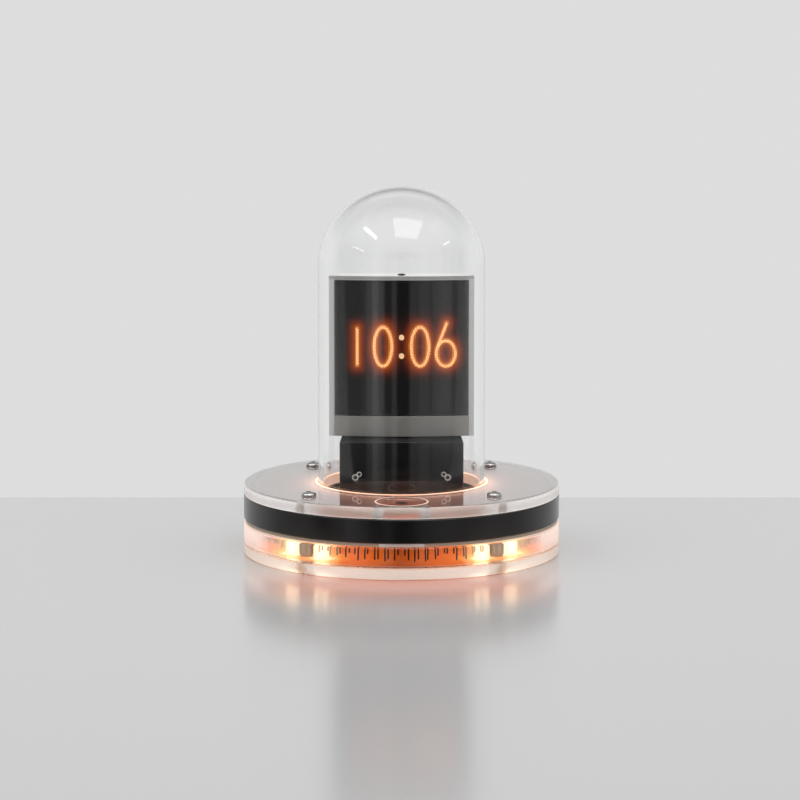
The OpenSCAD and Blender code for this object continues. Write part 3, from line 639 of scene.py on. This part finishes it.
def cableJacket():
    # braided sleeve: strands wound both ways round the cable's axis
    look = newFinish("cableJacket", "cable_jacket")
    x, y, z = look.axes()
    turn = look.maths("ARCTAN2", y - jacketLook["axisY"], x) * jacketLook["strands"]
    twist = z * jacketLook["twist"]
    braid = look.maths("MAXIMUM", look.maths("SINE", turn + twist), look.maths("SINE", turn - twist))
    strand = look.between(braid, 0.2, 1.0)
    return look.surface(look.blend(strand, grey(0.01), grey(0.05)), 0.7,
                        {"Normal": look.bump(braid, 0.5, 0.0001)})


numeralLook = {
    "wireRadius": 0.75 * mm, "coreRadius": 0.42 * mm, "coilWire": 0.28 * mm, "coilPitch": 1.45 * mm,
    "core": rgb(1.0, 0.38, 0.10), "coil": rgb(1.0, 0.58, 0.24), "dots": rgb(1.0, 0.66, 0.36),
    "coreStrength": 1.4, "coilStrength": 3.6, "dotStrength": 2.1,
    "haloReach": 3.6, "meshPitch": 1.1,  # mm
    # the six: its bowl's share of the height, where its stem's ends are beside the bowl's middle, in mm, and
    # how high the stem leaves the bowl, as a share of the bowl's height
    "bowlShare": 0.68, "stemTip": 0.416, "stemFoot": -4.16, "stemRise": 0.22}


def numeralParts():
    # the middle lines of the numerals, in mm, read from the frame
    wireRadius = numeralLook["wireRadius"] / mm
    parts = []
    for node in ("hours_units", "minutes_tens", "minutes_units"):
        low, high = [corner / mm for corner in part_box(node)]
        top = high.z
        if node == "minutes_units":  # the bowl of the six
            top = low.z + (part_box("hours_units")[1].z / mm - low.z) * numeralLook["bowlShare"]
        parts.append({"node": node, "x": (low.x + high.x) / 2, "z": (top + low.z) / 2,
                      "a": (high.x - low.x) / 2 - wireRadius, "b": (top - low.z) / 2 - wireRadius})
    bowl = parts[2]
    foot = (bowl["x"] + numeralLook["stemFoot"],
            bowl["z"] + (bowl["b"] + wireRadius) * 2 * numeralLook["stemRise"])
    tip = (bowl["x"] + numeralLook["stemTip"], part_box("minutes_units")[1].z / mm - wireRadius)
    low, high = [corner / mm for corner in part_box("hours_tens")]
    middle = (low.x + high.x) / 2
    parts.append({"node": "hours_tens", "from": (middle, low.z + wireRadius),
                  "to": (middle, high.z - wireRadius)})
    parts.append({"node": "minutes_units", "from": foot, "to": tip})
    return parts


def awayFrom(look, x, z, part):
    # distance in mm from a numeral's line
    if "from" in part:
        (ax, az), (bx, bz) = part["from"], part["to"]
        dx, dz = bx - ax, bz - az
        square = dx * dx + dz * dz
        share = look.between((x - ax) * (dx / square) + (z - az) * (dz / square), 0, 1)
        return look.distance(x - ax - share * dx, z - az - share * dz)
    # an oval: near enough close to its line, and less inside, where the light adds up
    u = (x - part["x"]) / part["a"]
    v = (z - part["z"]) / part["b"]
    long = look.maths("SQRT", u * u + v * v + 1e-4)
    steep = look.distance(u / part["a"], v / part["b"]) + 1e-4
    return abs(long - 1) * long / steep * look.between(long, 0.8, 1.0, 0.78, 1.0)


def haloPlate():
    # the dark plate behind the numerals, with painted red light round each wire, through a fine mesh
    look = newFinish("haloPlate", "black_plastic")
    x, z = look.axes()[::2]
    near = [look.fallOff(awayFrom(look, x, z, part), numeralLook["haloReach"]) for part in numeralParts()]
    glow = near[0]
    for other in near[1:]:
        glow = look.maths("MAXIMUM", glow, other)
    turn = 2 * math.pi / numeralLook["meshPitch"]
    mesh = 0.9 + (look.maths("SINE", x * turn) + look.maths("SINE", z * turn)) * 0.07
    shown = look.ramp(glow * mesh, [
        (0.1, (0, 0, 0)), (0.18, (0.018, 0.001, 0.0)), (0.26, (0.050, 0.005, 0.0)),
        (0.36, (0.115, 0.014, 0.0)), (0.5, (0.20, 0.027, 0.0)), (0.64, (0.31, 0.052, 0.001)),
        (0.7, (0.5, 0.14, 0.03)), (0.78, (0.85, 0.3, 0.08))])
    return look.surface(look.blend(mesh, grey(0.003), grey(0.007)), 0.6, {"Specular IOR Level": 0.2},
                        shown, 2.4)


plateFinish = clearAcrylic("plateAcrylic", "clear_acrylic", plateGlow, 1.0, clearness=0.94, satin=edgeSatin)
buttonFinish = clearAcrylic("buttonAcrylic", "clear_acrylic", tint=rgb(0.93, 0.74, 0.67), clearness=0.93)
footFinish = clearAcrylic("footAcrylic", "clear_acrylic", footGlow, 0.3, footTint, 0.75, edgeSatin)
bandFinish = clearAcrylic("bandAcrylic", "lit_band", bandGlow, 0.36, rgb(0.99, 0.95, 0.93), satin=bandSatin)
blackRing = satinBlack("ringBlack", "black_ring")
deckBlack = satinBlack("deckBlack", "black_deck", 0.5, 0.3)
neckBlack = glossBlack()
frameSteel = brushedSteel("frameSteel", "frame_steel", rgb(0.92, 0.91, 0.89), 0.33, (1, 1, 0.02), 0.4, 0.03)
chinSteel = brushedSteel("chinSteel", "chin_steel", rgb(0.55, 0.525, 0.50), 0.32, (0.02, 1, 1), 0.7)
screwSteel = machinedMetal("screwSteel", "screw_steel", rgb(0.75, 0.73, 0.71), 0.18)
ringSteel = machinedMetal("ringSteel", "screw_steel", grey(0.10), 0.35)
polished = machinedMetal("polished", "screw_steel", rgb(0.97, 0.96, 0.94), 0.36, 0.15)
standoffMetal = machinedMetal("standoffMetal", "standoff_metal", rgb(0.30, 0.26, 0.23), 0.35)
brass = machinedMetal("nutBrass", "nut_brass", rgb(0.72, 0.5, 0.22), 0.18)
tinned = machinedMetal("tinnedLeads", "tinned_leads", rgb(0.07, 0.04, 0.025), 0.35, 0.7)
cellSteel = machinedMetal("cellSteel", "cell_steel", grey(0.6), 0.18)
whitePlastic = mouldedPlastic("whitePlastic", "white_plastic", rgb(0.78, 0.76, 0.72))
blackPlastic = mouldedPlastic("blackPlastic", "black_plastic", rgb(0.015, 0.015, 0.016))
ferrite = mouldedPlastic("ferrite", "ferrite", rgb(0.035, 0.035, 0.037), 0.7)
rubber = mouldedPlastic("sealRubber", "seal_rubber", grey(0.012), 0.8)
buttonGuide = glowing("buttonGuide", "light_guide", rgb(1.0, 0.62, 0.46), 1.0, shield=buttonSides)
wireCore = glowing("wireCore", "numeral_wire", numeralLook["core"], numeralLook["coreStrength"], 0.15, 400)
wireCoil = glowing("wireCoil", "numeral_wire", numeralLook["coil"], numeralLook["coilStrength"], 0.3, 900)
dotGlow = glowing("dotGlow", "numeral_wire", numeralLook["dots"], numeralLook["dotStrength"], 0.1, 400)

keptNodes = [  # nodes that stay as they are, with their finish
    (blackPlastic, "button_switch control_chips cell_holder socket_tongue set_switches display_chips"),
    (whitePlastic, "edge_header switch_plunger cable_header"), (screwSteel, "bottom_screws foot_screws"),
    (brass, "post_nut head_nut"), (rubber, "head_washer dome_seal"), (ferrite, "supply_coil"),
    (cellSteel, "backup_cell"), (deckBlack, "neck_foot"), (frameSteel, "neck_post"),
    (fibreBoard(), "circuit_board"), (deckFinish(), "deck_plate"), (resistorBody(), "driver_resistors"),
    (capacitorSleeve(), "capacitors"), (cableJacket(), "display_cable"), (haloPlate(), "numeral_plate"),
    (greenBoard(), "display_board")]
for finish, nodes in keptNodes:
    for node in nodes.split():
        for slot in frame["nodes"][node].material_slots:
            slot.material = finish
print("finishes made")

air = 0.04 * mm  # the gap that keeps touching clear faces apart
refined("bottom_plate", footFinish, shrink=air)
refined("top_plate", plateFinish, rounding=0.3 * mm, shrink=air)
refined("housing_ring", blackRing, rounding=0.12 * mm, name="blackRing")
refined("standoffs", standoffMetal)
refined("top_screws", screwSteel)
refined("chamber_lamps", lampAmber())
refined("rim_light", rimGlow(), shrink=air)
refined("button_light", buttonGuide, shrink=air)
refined("push_button", buttonFinish)
refined("neck_screws", ringSteel)
refined("lock_screws", ringSteel)
refined("head_frame", frameSteel, rounding=0.15 * mm)
refined("chin_band", chinSteel, rounding=0.1 * mm)
refined("screen_glass", smokedGlass(), rounding=0.1 * mm)
refined("head_back", frameSteel, rounding=0.1 * mm)
refined("back_screws", screwSteel)
refined("cap_screw", ringSteel, lift=-0.5 * mm)
refined("power_socket", screwSteel)
refined("set_button_left", blackPlastic)
refined("set_button_right", blackPlastic)
print("pieces refined from the frame")


neckShape = {"corner": 1.5 * mm, "cadCorner": 4.0 * mm, "edge": 0.3 * mm, "cadEdge": 0.8 * mm,
             "rounding": 0.07 * mm}


def neckShell():
    # the neck with crisper upright corners and a finer top edge than its solid
    shape = copyOf("neck_shell")
    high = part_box("neck_shell")[1]
    corner, cadCorner, cadEdge = neckShape["corner"], neckShape["cadCorner"], neckShape["cadEdge"]
    share = neckShape["edge"] / cadEdge
    for vert in shape.verts:
        inX = abs(vert.co.x) - (high.x - cadCorner)
        inY = abs(vert.co.y) - (high.y - cadCorner)
        out = math.hypot(inX, inY)
        if min(inX, inY) < -0.01 * mm or out < cadCorner - 1.2 * cadEdge:
            continue  # not on a corner
        reach = corner - (cadCorner - out) * share
        vert.co.x = math.copysign(high.x - corner + reach * inX / out, vert.co.x)
        vert.co.y = math.copysign(high.y - corner + reach * inY / out, vert.co.y)
        if vert.co.z > high.z - 1.1 * cadEdge:
            vert.co.z = high.z - (high.z - vert.co.z) * share
    bmesh.ops.remove_doubles(shape, verts=shape.verts, dist=2 * weldWithin)
    bmesh.ops.dissolve_degenerate(shape, dist=weldWithin, edges=shape.edges)
    joinFlats(shape)
    roundOff(shape, neckShape["rounding"])
    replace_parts(finished("neckShell", shape, neckBlack, "base"), "neck_shell")


screwRim = {"neck_screws": {"radius": 1.3 * mm, "tube": 0.34 * mm, "stand": 0.6 * mm},
            "lock_screws": {"radius": 1.05 * mm, "tube": 0.26 * mm, "stand": 0.156 * mm},
            "steps": 24, "tubeSteps": 8}


def screwRims():
    # polished ring round each clamp and lock screw, front and rear of the neck
    shape = bmesh.new()
    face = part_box("neck_shell")[1].y
    for node in ("neck_screws", "lock_screws"):
        rim = screwRim[node]
        low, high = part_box(node)
        half = (high.z - low.z) / 2
        for side in (-1, 1):
            for front in (-1, 1):
                centre = Vector((side * (high.x - half), front * (face + rim["stand"]), low.z + half))
                ringAbout(shape, centre, rim["radius"], rim["tube"])
    finished("screwRims", shape, polished, "base", 1.0)


def ringAbout(shape, centre, radius, tube):
    # adds a ring round an axis along Y
    made = bmesh.ops.create_circle(shape, segments=screwRim["tubeSteps"], radius=tube,
                                   matrix=Matrix.Translation(centre + Vector((radius, 0, 0))))
    edges = list({e for v in made["verts"] for e in v.link_edges})
    bmesh.ops.spin(shape, geom=made["verts"] + edges, cent=centre, axis=(0, 1, 0), angle=2 * math.pi,
                   steps=screwRim["steps"], use_merge=True)
    bmesh.ops.remove_doubles(shape, verts=shape.verts, dist=1e-7)
    bmesh.ops.recalc_face_normals(shape, faces=shape.faces)


domeShape = {"wall": 2.4 * mm, "crown": 39.6 * mm, "crownSteps": 32, "turnSteps": 160, "footRound": 0.6 * mm}


def glassDome():
    # one closed outline, up the outside, down the inside and round the foot
    low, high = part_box("glass_dome")
    crown, wall, steps = domeShape["crown"], domeShape["wall"], domeShape["crownSteps"]
    outer, inner = high.x, high.x - wall
    spring = high.z - crown
    outside = arc((0, spring), (outer, crown), 0, 90, steps)
    inside = arc((0, spring), (inner, crown - wall), 90, 0, steps)
    r = domeShape["footRound"]
    cut = r * 0.3
    foot = [(inner, low.z + r), (inner + cut, low.z + cut), (inner + r, low.z),
            (outer - r, low.z), (outer - cut, low.z + cut), (outer, low.z + r)]
    piece = turned("glassDome", outside + inside + foot, domeGlass(), "dome", domeShape["turnSteps"], 1.2)
    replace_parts(piece, "glass_dome")


bandShape = {"wall": 6.0 * mm, "topRound": 1.5 * mm, "footEdge": 0.5 * mm, "turnSteps": 160}


def litBand():
    low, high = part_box("light_band")
    outer, inner, cut = high.x, high.x - bandShape["wall"], bandShape["footEdge"]
    top, foot, r = high.z - air, low.z + air, bandShape["topRound"]
    outline = [(inner, foot), (outer - cut, foot), (outer, foot + cut)]
    outline += arc((outer - r, top - r), (r, r), 0, 90, 8) + [(inner, top)]
    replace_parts(turned("litBand", outline, bandFinish, "base", bandShape["turnSteps"], 0.5), "light_band")


filmShape = {"radius": 73.4 * mm, "thickness": 0.12 * mm, "steps": 96}


def chamberFilm():
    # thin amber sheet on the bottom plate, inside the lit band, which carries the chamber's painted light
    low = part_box("bottom_plate")[1].z + 2 * air
    high = low + filmShape["thickness"]
    r = filmShape["radius"]
    outline = [(0, low), (r, low), (r, high), (0, high)]
    turned("chamberFilm", outline, amberFilm(), "base", filmShape["steps"])


sleeveShape = {"radius": 3.65 * mm, "wall": 0.4 * mm, "foot": 0.4 * mm, "round": 0.4 * mm, "steps": 40}


def lampSleeves():
    # frosted sleeve round each lamp, which carries the lamps' painted glow
    low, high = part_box("light_band")
    top, foot = high.z - air, low.z + sleeveShape["foot"]
    radius, wall, r = sleeveShape["radius"], sleeveShape["wall"], sleeveShape["round"]
    outline = [(0, foot), (radius - r, foot), (radius, foot + r), (radius, top), (radius - wall, top),
               (radius - wall, foot + wall), (0, foot + wall)]
    shape = bmesh.new()
    for x in (-lampAt[0], -lampAt[1], lampAt[1], lampAt[0]):
        for y in (-1, 1):
            side = y * (lampAt[0] + lampAt[1] - abs(x))
            spun(shape, Vector((x * mm, side * mm, 0)), outline, sleeveShape["steps"])
    finished("lampSleeves", shape, sleeveGlow(), "base")


def ovalPath(part, y, count=96):
    places = arc((part["x"] * mm, part["z"] * mm), (part["a"] * mm, part["b"] * mm), 0, 360, count)[:-1]
    return [Vector((x, y, z)) for x, z in places]


def linePath(part, y, count=24):
    start, end = [Vector((x * mm, y, z * mm)) for x, z in (part["from"], part["to"])]
    return [start.lerp(end, i / count) for i in range(count + 1)]


def coilPath(path, closed, perTurn=9):
    # a fine winding round the core, whole turns on a closed wire
    ring = path + [path[0]] if closed else path
    steps = [(b - a).length for a, b in zip(ring, ring[1:])]
    total = sum(steps)
    count = max(1, round(total / numeralLook["coilPitch"])) * perTurn
    radius = numeralLook["wireRadius"] - numeralLook["coilWire"]
    points, leg, done = [], 0, 0.0
    for i in range(count + (0 if closed else 1)):
        along = total * i / count
        while leg < len(steps) - 1 and done + steps[leg] < along:
            done += steps[leg]
            leg += 1
        a, b = ring[leg], ring[leg + 1]
        centre = a.lerp(b, min(1, (along - done) / steps[leg]))
        side = (b - a).normalized().cross(Vector((0, 1, 0)))
        turn = 2 * math.pi * i / perTurn
        points.append(centre + side * (radius * math.cos(turn)) + Vector((0, radius * math.sin(turn), 0)))
    return points


def numerals():
    # each a bright core with a coil wound round it, on two feet, and the colon's dots
    wireRadius = numeralLook["wireRadius"]
    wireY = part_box("hours_units")[0].y + wireRadius
    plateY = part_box("numeral_plate")[0].y
    lines = {}
    for part in numeralParts():
        closed = "from" not in part
        path = ovalPath(part, wireY) if closed else linePath(part, wireY)
        lines.setdefault(part["node"], []).append((path, closed))
    for node, paths in lines.items():
        for place, (path, closed) in enumerate(paths):
            label = nameOf(node) + ("Stem" if place else "")
            core = wire(label + "Core", [path], numeralLook["coreRadius"], wireCore, closed)
            winding = coilPath(path, closed)
            coil = wire(label + "Coil", [winding], numeralLook["coilWire"], wireCoil, closed, roundness=0)
            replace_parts(core, node)
            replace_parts(coil, node)
        heights = sorted(paths[0][0], key=lambda p: p.z)
        feet = [[(p.x, wireY, p.z), (p.x, plateY, p.z)] for p in (heights[0], heights[-1])]
        wire(nameOf(node) + "Feet", feet, wireRadius * 0.5, tinned, closed=False)
    refined("colon_dots", dotGlow, rounding=0.3 * mm, steps=3)


leadLook = {"shortest": 0.7, "longest": 1.35, "bend": 0.35 * mm, "bendOver": 7 * mm, "thicker": 1.15,
            "seed": 7}


def islandsOf(shape):
    # the points of each loose part
    left, islands = set(shape.verts), []
    for first in list(shape.verts):
        if first not in left:
            continue
        left.discard(first)
        queue, island = [first], []
        while queue:
            vert = queue.pop()
            island.append(vert)
            for edge in vert.link_edges:
                other = edge.other_vert(vert)
                if other in left:
                    left.discard(other)
                    queue.append(other)
        islands.append(island)
    return islands


def middleOf(island):
    return sum((vert.co for vert in island), Vector()) / len(island)


def componentLeads():
    # the leads cut to slightly different lengths and a little bent, as hand-fitted ones are
    shape = copyOf("lead_pins")
    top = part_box("lead_pins")[1].z
    chance = random.Random(leadLook["seed"])
    for island in islandsOf(shape):
        length = chance.uniform(leadLook["shortest"], leadLook["longest"])
        bend = Vector((chance.uniform(-1, 1), chance.uniform(-1, 1), 0)) * leadLook["bend"]
        middle = middleOf(island)
        for vert in island:
            vert.co.xy = middle.xy + (vert.co.xy - middle.xy) * leadLook["thicker"]
            down = (top - vert.co.z) / leadLook["bendOver"]
            vert.co.z = top - (top - vert.co.z) * length
            vert.co += bend * down
    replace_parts(finished("componentLeads", shape, tinned, "base", 0.9), "lead_pins")


solderShape = {"radius": 0.85 * mm, "tip": 0.42 * mm, "height": 0.8 * mm, "gap": 0.02 * mm, "sides": 10}


def solderJoints():
    # a small cone of solder round each lead, at the board's underside
    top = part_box("lead_pins")[1].z
    shape, leads = bmesh.new(), copyOf("lead_pins")
    for island in islandsOf(leads):
        middle = middleOf(island)
        middle.z = top - solderShape["height"] / 2 - solderShape["gap"]
        bmesh.ops.create_cone(shape, cap_ends=True, cap_tris=False, segments=solderShape["sides"],
                              radius1=solderShape["tip"], radius2=solderShape["radius"],
                              depth=solderShape["height"], matrix=Matrix.Translation(middle))
    leads.free()
    finished("solderJoints", shape, tinned, "base", 0.9)


stageLook = {"floorColour": rgb(0.65, 0.65, 0.655), "floorRough": 0.17, "poolColour": rgb(0.61, 0.32, 0.235),
             "poolLight": rgb(0.17, 0.01, 0.0), "wall": rgb(0.725, 0.725, 0.728),
             "back": 0.158, "front": -1.4, "side": 1.6}   # m


def floor():
    # a pale desk with a painted warm pool of light before the clock, in its colour and emission; beyond the desk's
    # real front edge only the dark room shows in the clock's reflections
    look = Finish(bpy.data.materials.new("floorSatin"))
    x, y = look.axes()[:2]
    beyond = look.between(look.ray("Glossy Depth"), 0.4, 0.6) * look.between(y, -135, -118, 1, 0)
    # painted light: a warm pool tinted into the desk's colour and given as emission before the clock
    spread = look.between(look.fallOff(look.radius() - 79, 50), 0, 1) * look.between(y, -150, -112)
    pool = spread * look.between(y, -90, -45, 1, 0) * look.between(abs(x), 50, 82, 1, 0)
    desk = look.node("ShaderNodeBsdfPrincipled", values={
        "Base Color": look.blend(pool, stageLook["floorColour"], stageLook["poolColour"]),
        "Roughness": stageLook["floorRough"], "Specular IOR Level": 0.6,
        "Emission Color": look.blend(pool, unlit, stageLook["poolLight"]), "Emission Strength": 1.0})
    nothing = look.node("ShaderNodeBsdfTransparent")
    look.endIn(look.node("ShaderNodeMixShader", values={0: beyond, 1: desk, 2: nothing}))
    shape = bmesh.new()
    bmesh.ops.create_grid(shape, x_segments=1, y_segments=1, size=0.5)
    depth = stageLook["back"] - stageLook["front"]
    bmesh.ops.scale(shape, vec=(2 * stageLook["side"], depth, 1), verts=shape.verts)
    bmesh.ops.translate(shape, vec=(0, stageLook["front"] + depth / 2, -0.2 * mm), verts=shape.verts)
    added("floor", meshOf("floor", shape, look.owner))


# the upright parts of the room in front of the clock, from left to right: where each begins and ends, in
# degrees from straight ahead, and its brightness
roomParts = [
    (-118, -180, 0.86),  # pale wall behind the clock
    (-98, -70, 0.17),    # side wall
    (-64, -52, 0.15),    # doorway
    (-48, -43, 0.35),    # blind
    (-40, -34, 0.70),    # window
    (-31, -26, 0.45),    # curtain
    (-22, -15, 0.13),    # dark shelf
    (-12, -8, 0.34),     # door
    (-5, 9, 0.06),       # dark gap straight ahead
    (13, 23, 0.33),      # screen
    (27, 38, 0.46),      # reflector
    (40, 42, 0.34),      # its stand
    (46, 70, 0.42),      # pale cloth
    (78, 92, 0.17),      # side wall
    (118, 180, 0.86)]
# the wall behind the clock as glass shows it: seen through, just above the desk, and in the glass's own edge
wallLook = {"through": rgb(0.775, 0.775, 0.78), "above": grey(0.95), "edge": grey(0.71)}


def roomRamp(look, azimuth, side):
    # brightness along one side, from straight ahead to straight behind
    stops = sorted({(abs(a) / 180, v) for start, end, v in roomParts for a in (start, end) if a * side > 0})
    ahead = next(v for start, end, v in roomParts if start < 0 < end)
    return look.ramp(azimuth * (side / 180), [(at, (v, v, v)) for at, v in [(0.0, ahead)] + stops])


def room():
    # a pale wall behind, a darker room with upright bright and dark parts in front, and a ceiling
    world = bpy.data.worlds.new("room")
    bpy.context.scene.world = world
    look = Finish(world, "ShaderNodeOutputWorld")
    x, y, z = look.parts(look.node("ShaderNodeTexCoord", output="Generated"))
    azimuth = look.maths("ARCTAN2", x, y * -1) * (180 / math.pi)
    left, right = [roomRamp(look, azimuth, side) for side in (-1, 1)]
    walls = look.blend(look.between(azimuth, -0.1, 0.1), left, right)
    walls = look.blend(look.between(z, -0.165, -0.152, 0.6, 1.0), unlit, walls)  # darker under the desk
    behind = look.between(abs(azimuth), 105, 125)
    walls = look.blend(look.between(z, -0.1, 0.0, 1, 0) * behind, walls, wallLook["edge"])
    straight = look.between(abs(x), 0.06, 0.14, 1, 0)
    justAbove = look.between(z, 0.05, 0.08) * look.between(z, 0.13, 0.17, 1, 0) * straight
    seenWall = look.blend(justAbove, wallLook["through"], wallLook["above"])
    walls = look.blend(behind * look.ray("Is Transmission Ray"), walls, seenWall)
    overhead = look.between(y, 0.0, 0.3)  # the ceiling's dark part lies behind the clock
    ceiling = look.blend(overhead, grey(1.05), grey(0.35))
    high = look.blend(overhead, look.between(z, 0.35, 0.8), look.between(z, 0.2, 0.5))
    light = look.blend(high, walls, ceiling)
    shown = look.blend(look.ray("Is Camera Ray"), light, stageLook["wall"])
    look.endIn(look.node("ShaderNodeBackground", values={"Color": shown, "Strength": 1.0}))


lamps = {  # each one's long middle line from end to end and its width, in metres, and its power in watts
    "overhead": ((0.15, -0.98, 1.25), (0.15, -0.2, 1.32), 0.70, 3.3),
    "leftStrip": ((-1.0, -0.11, 1.3), (-0.85, -0.85, 1.25), 0.11, 1.5),
    "leftSmall": ((-1.38, -0.27, 0.76), (-1.2, -0.77, 0.72), 0.05, 0.25),
    "rightSmall": ((1.33, -0.20, 0.90), (1.25, -0.50, 0.88), 0.06, 0.2)}
lampAim = Vector((0, 0, 0.12))


def softLights():
    # flat lights that face the clock
    for name, (start, end, width, power) in lamps.items():
        start, end = Vector(start), Vector(end)
        place = (start + end) / 2
        along = (end - start).normalized()
        away = place - lampAim
        away = (away - along * away.dot(along)).normalized()
        light = bpy.data.lights.new(name, "AREA")
        light.shape = "RECTANGLE"
        light.size = width
        light.size_y = (end - start).length
        light.energy = power
        turn = Matrix((along.cross(away), along, away)).transposed().to_4x4()
        added(name, light).matrix_world = Matrix.Translation(place) @ turn


cameraPlace = {"at": (-0.000764, -1.68945, 0.32046), "pitch": 8.193, "lens": 151.75}
bloomLook = {"Threshold": 1.0, "Strength": 0.19, "Size": 0.35}


def camera():
    data = bpy.data.cameras.new("camera")
    data.lens, data.sensor_width = cameraPlace["lens"], 36.0
    data.clip_start, data.clip_end = 0.05, 50
    holder = added("camera", data)
    holder.location = cameraPlace["at"]
    holder.rotation_euler = (math.radians(90 - cameraPlace["pitch"]), 0, 0)
    scene = bpy.context.scene
    scene.camera = holder
    scene.view_settings.view_transform = "Standard"
    scene.cycles.use_denoising = True
    scene.cycles.max_bounces = 20
    scene.cycles.transmission_bounces = 16
    scene.cycles.transparent_max_bounces = 16
    scene.cycles.sample_clamp_indirect = 6


def bloom():
    # the glow that the lamps and numerals leave in the picture
    scene = bpy.context.scene
    scene.use_nodes = True
    tree = scene.node_tree
    tree.nodes.clear()
    picture = tree.nodes.new("CompositorNodeRLayers")
    glare = tree.nodes.new("CompositorNodeGlare")
    glare.glare_type = "BLOOM"
    for name, value in bloomLook.items():
        glare.inputs[name].default_value = value
    shown = tree.nodes.new("CompositorNodeComposite")
    tree.links.new(picture.outputs["Image"], glare.inputs["Image"])
    tree.links.new(glare.outputs["Image"], shown.inputs["Image"])


for make in (neckShell, screwRims, glassDome, litBand, chamberFilm, lampSleeves, numerals, componentLeads,
             solderJoints, floor, room, softLights, camera, bloom):
    make()
    print(make.__name__, "made")
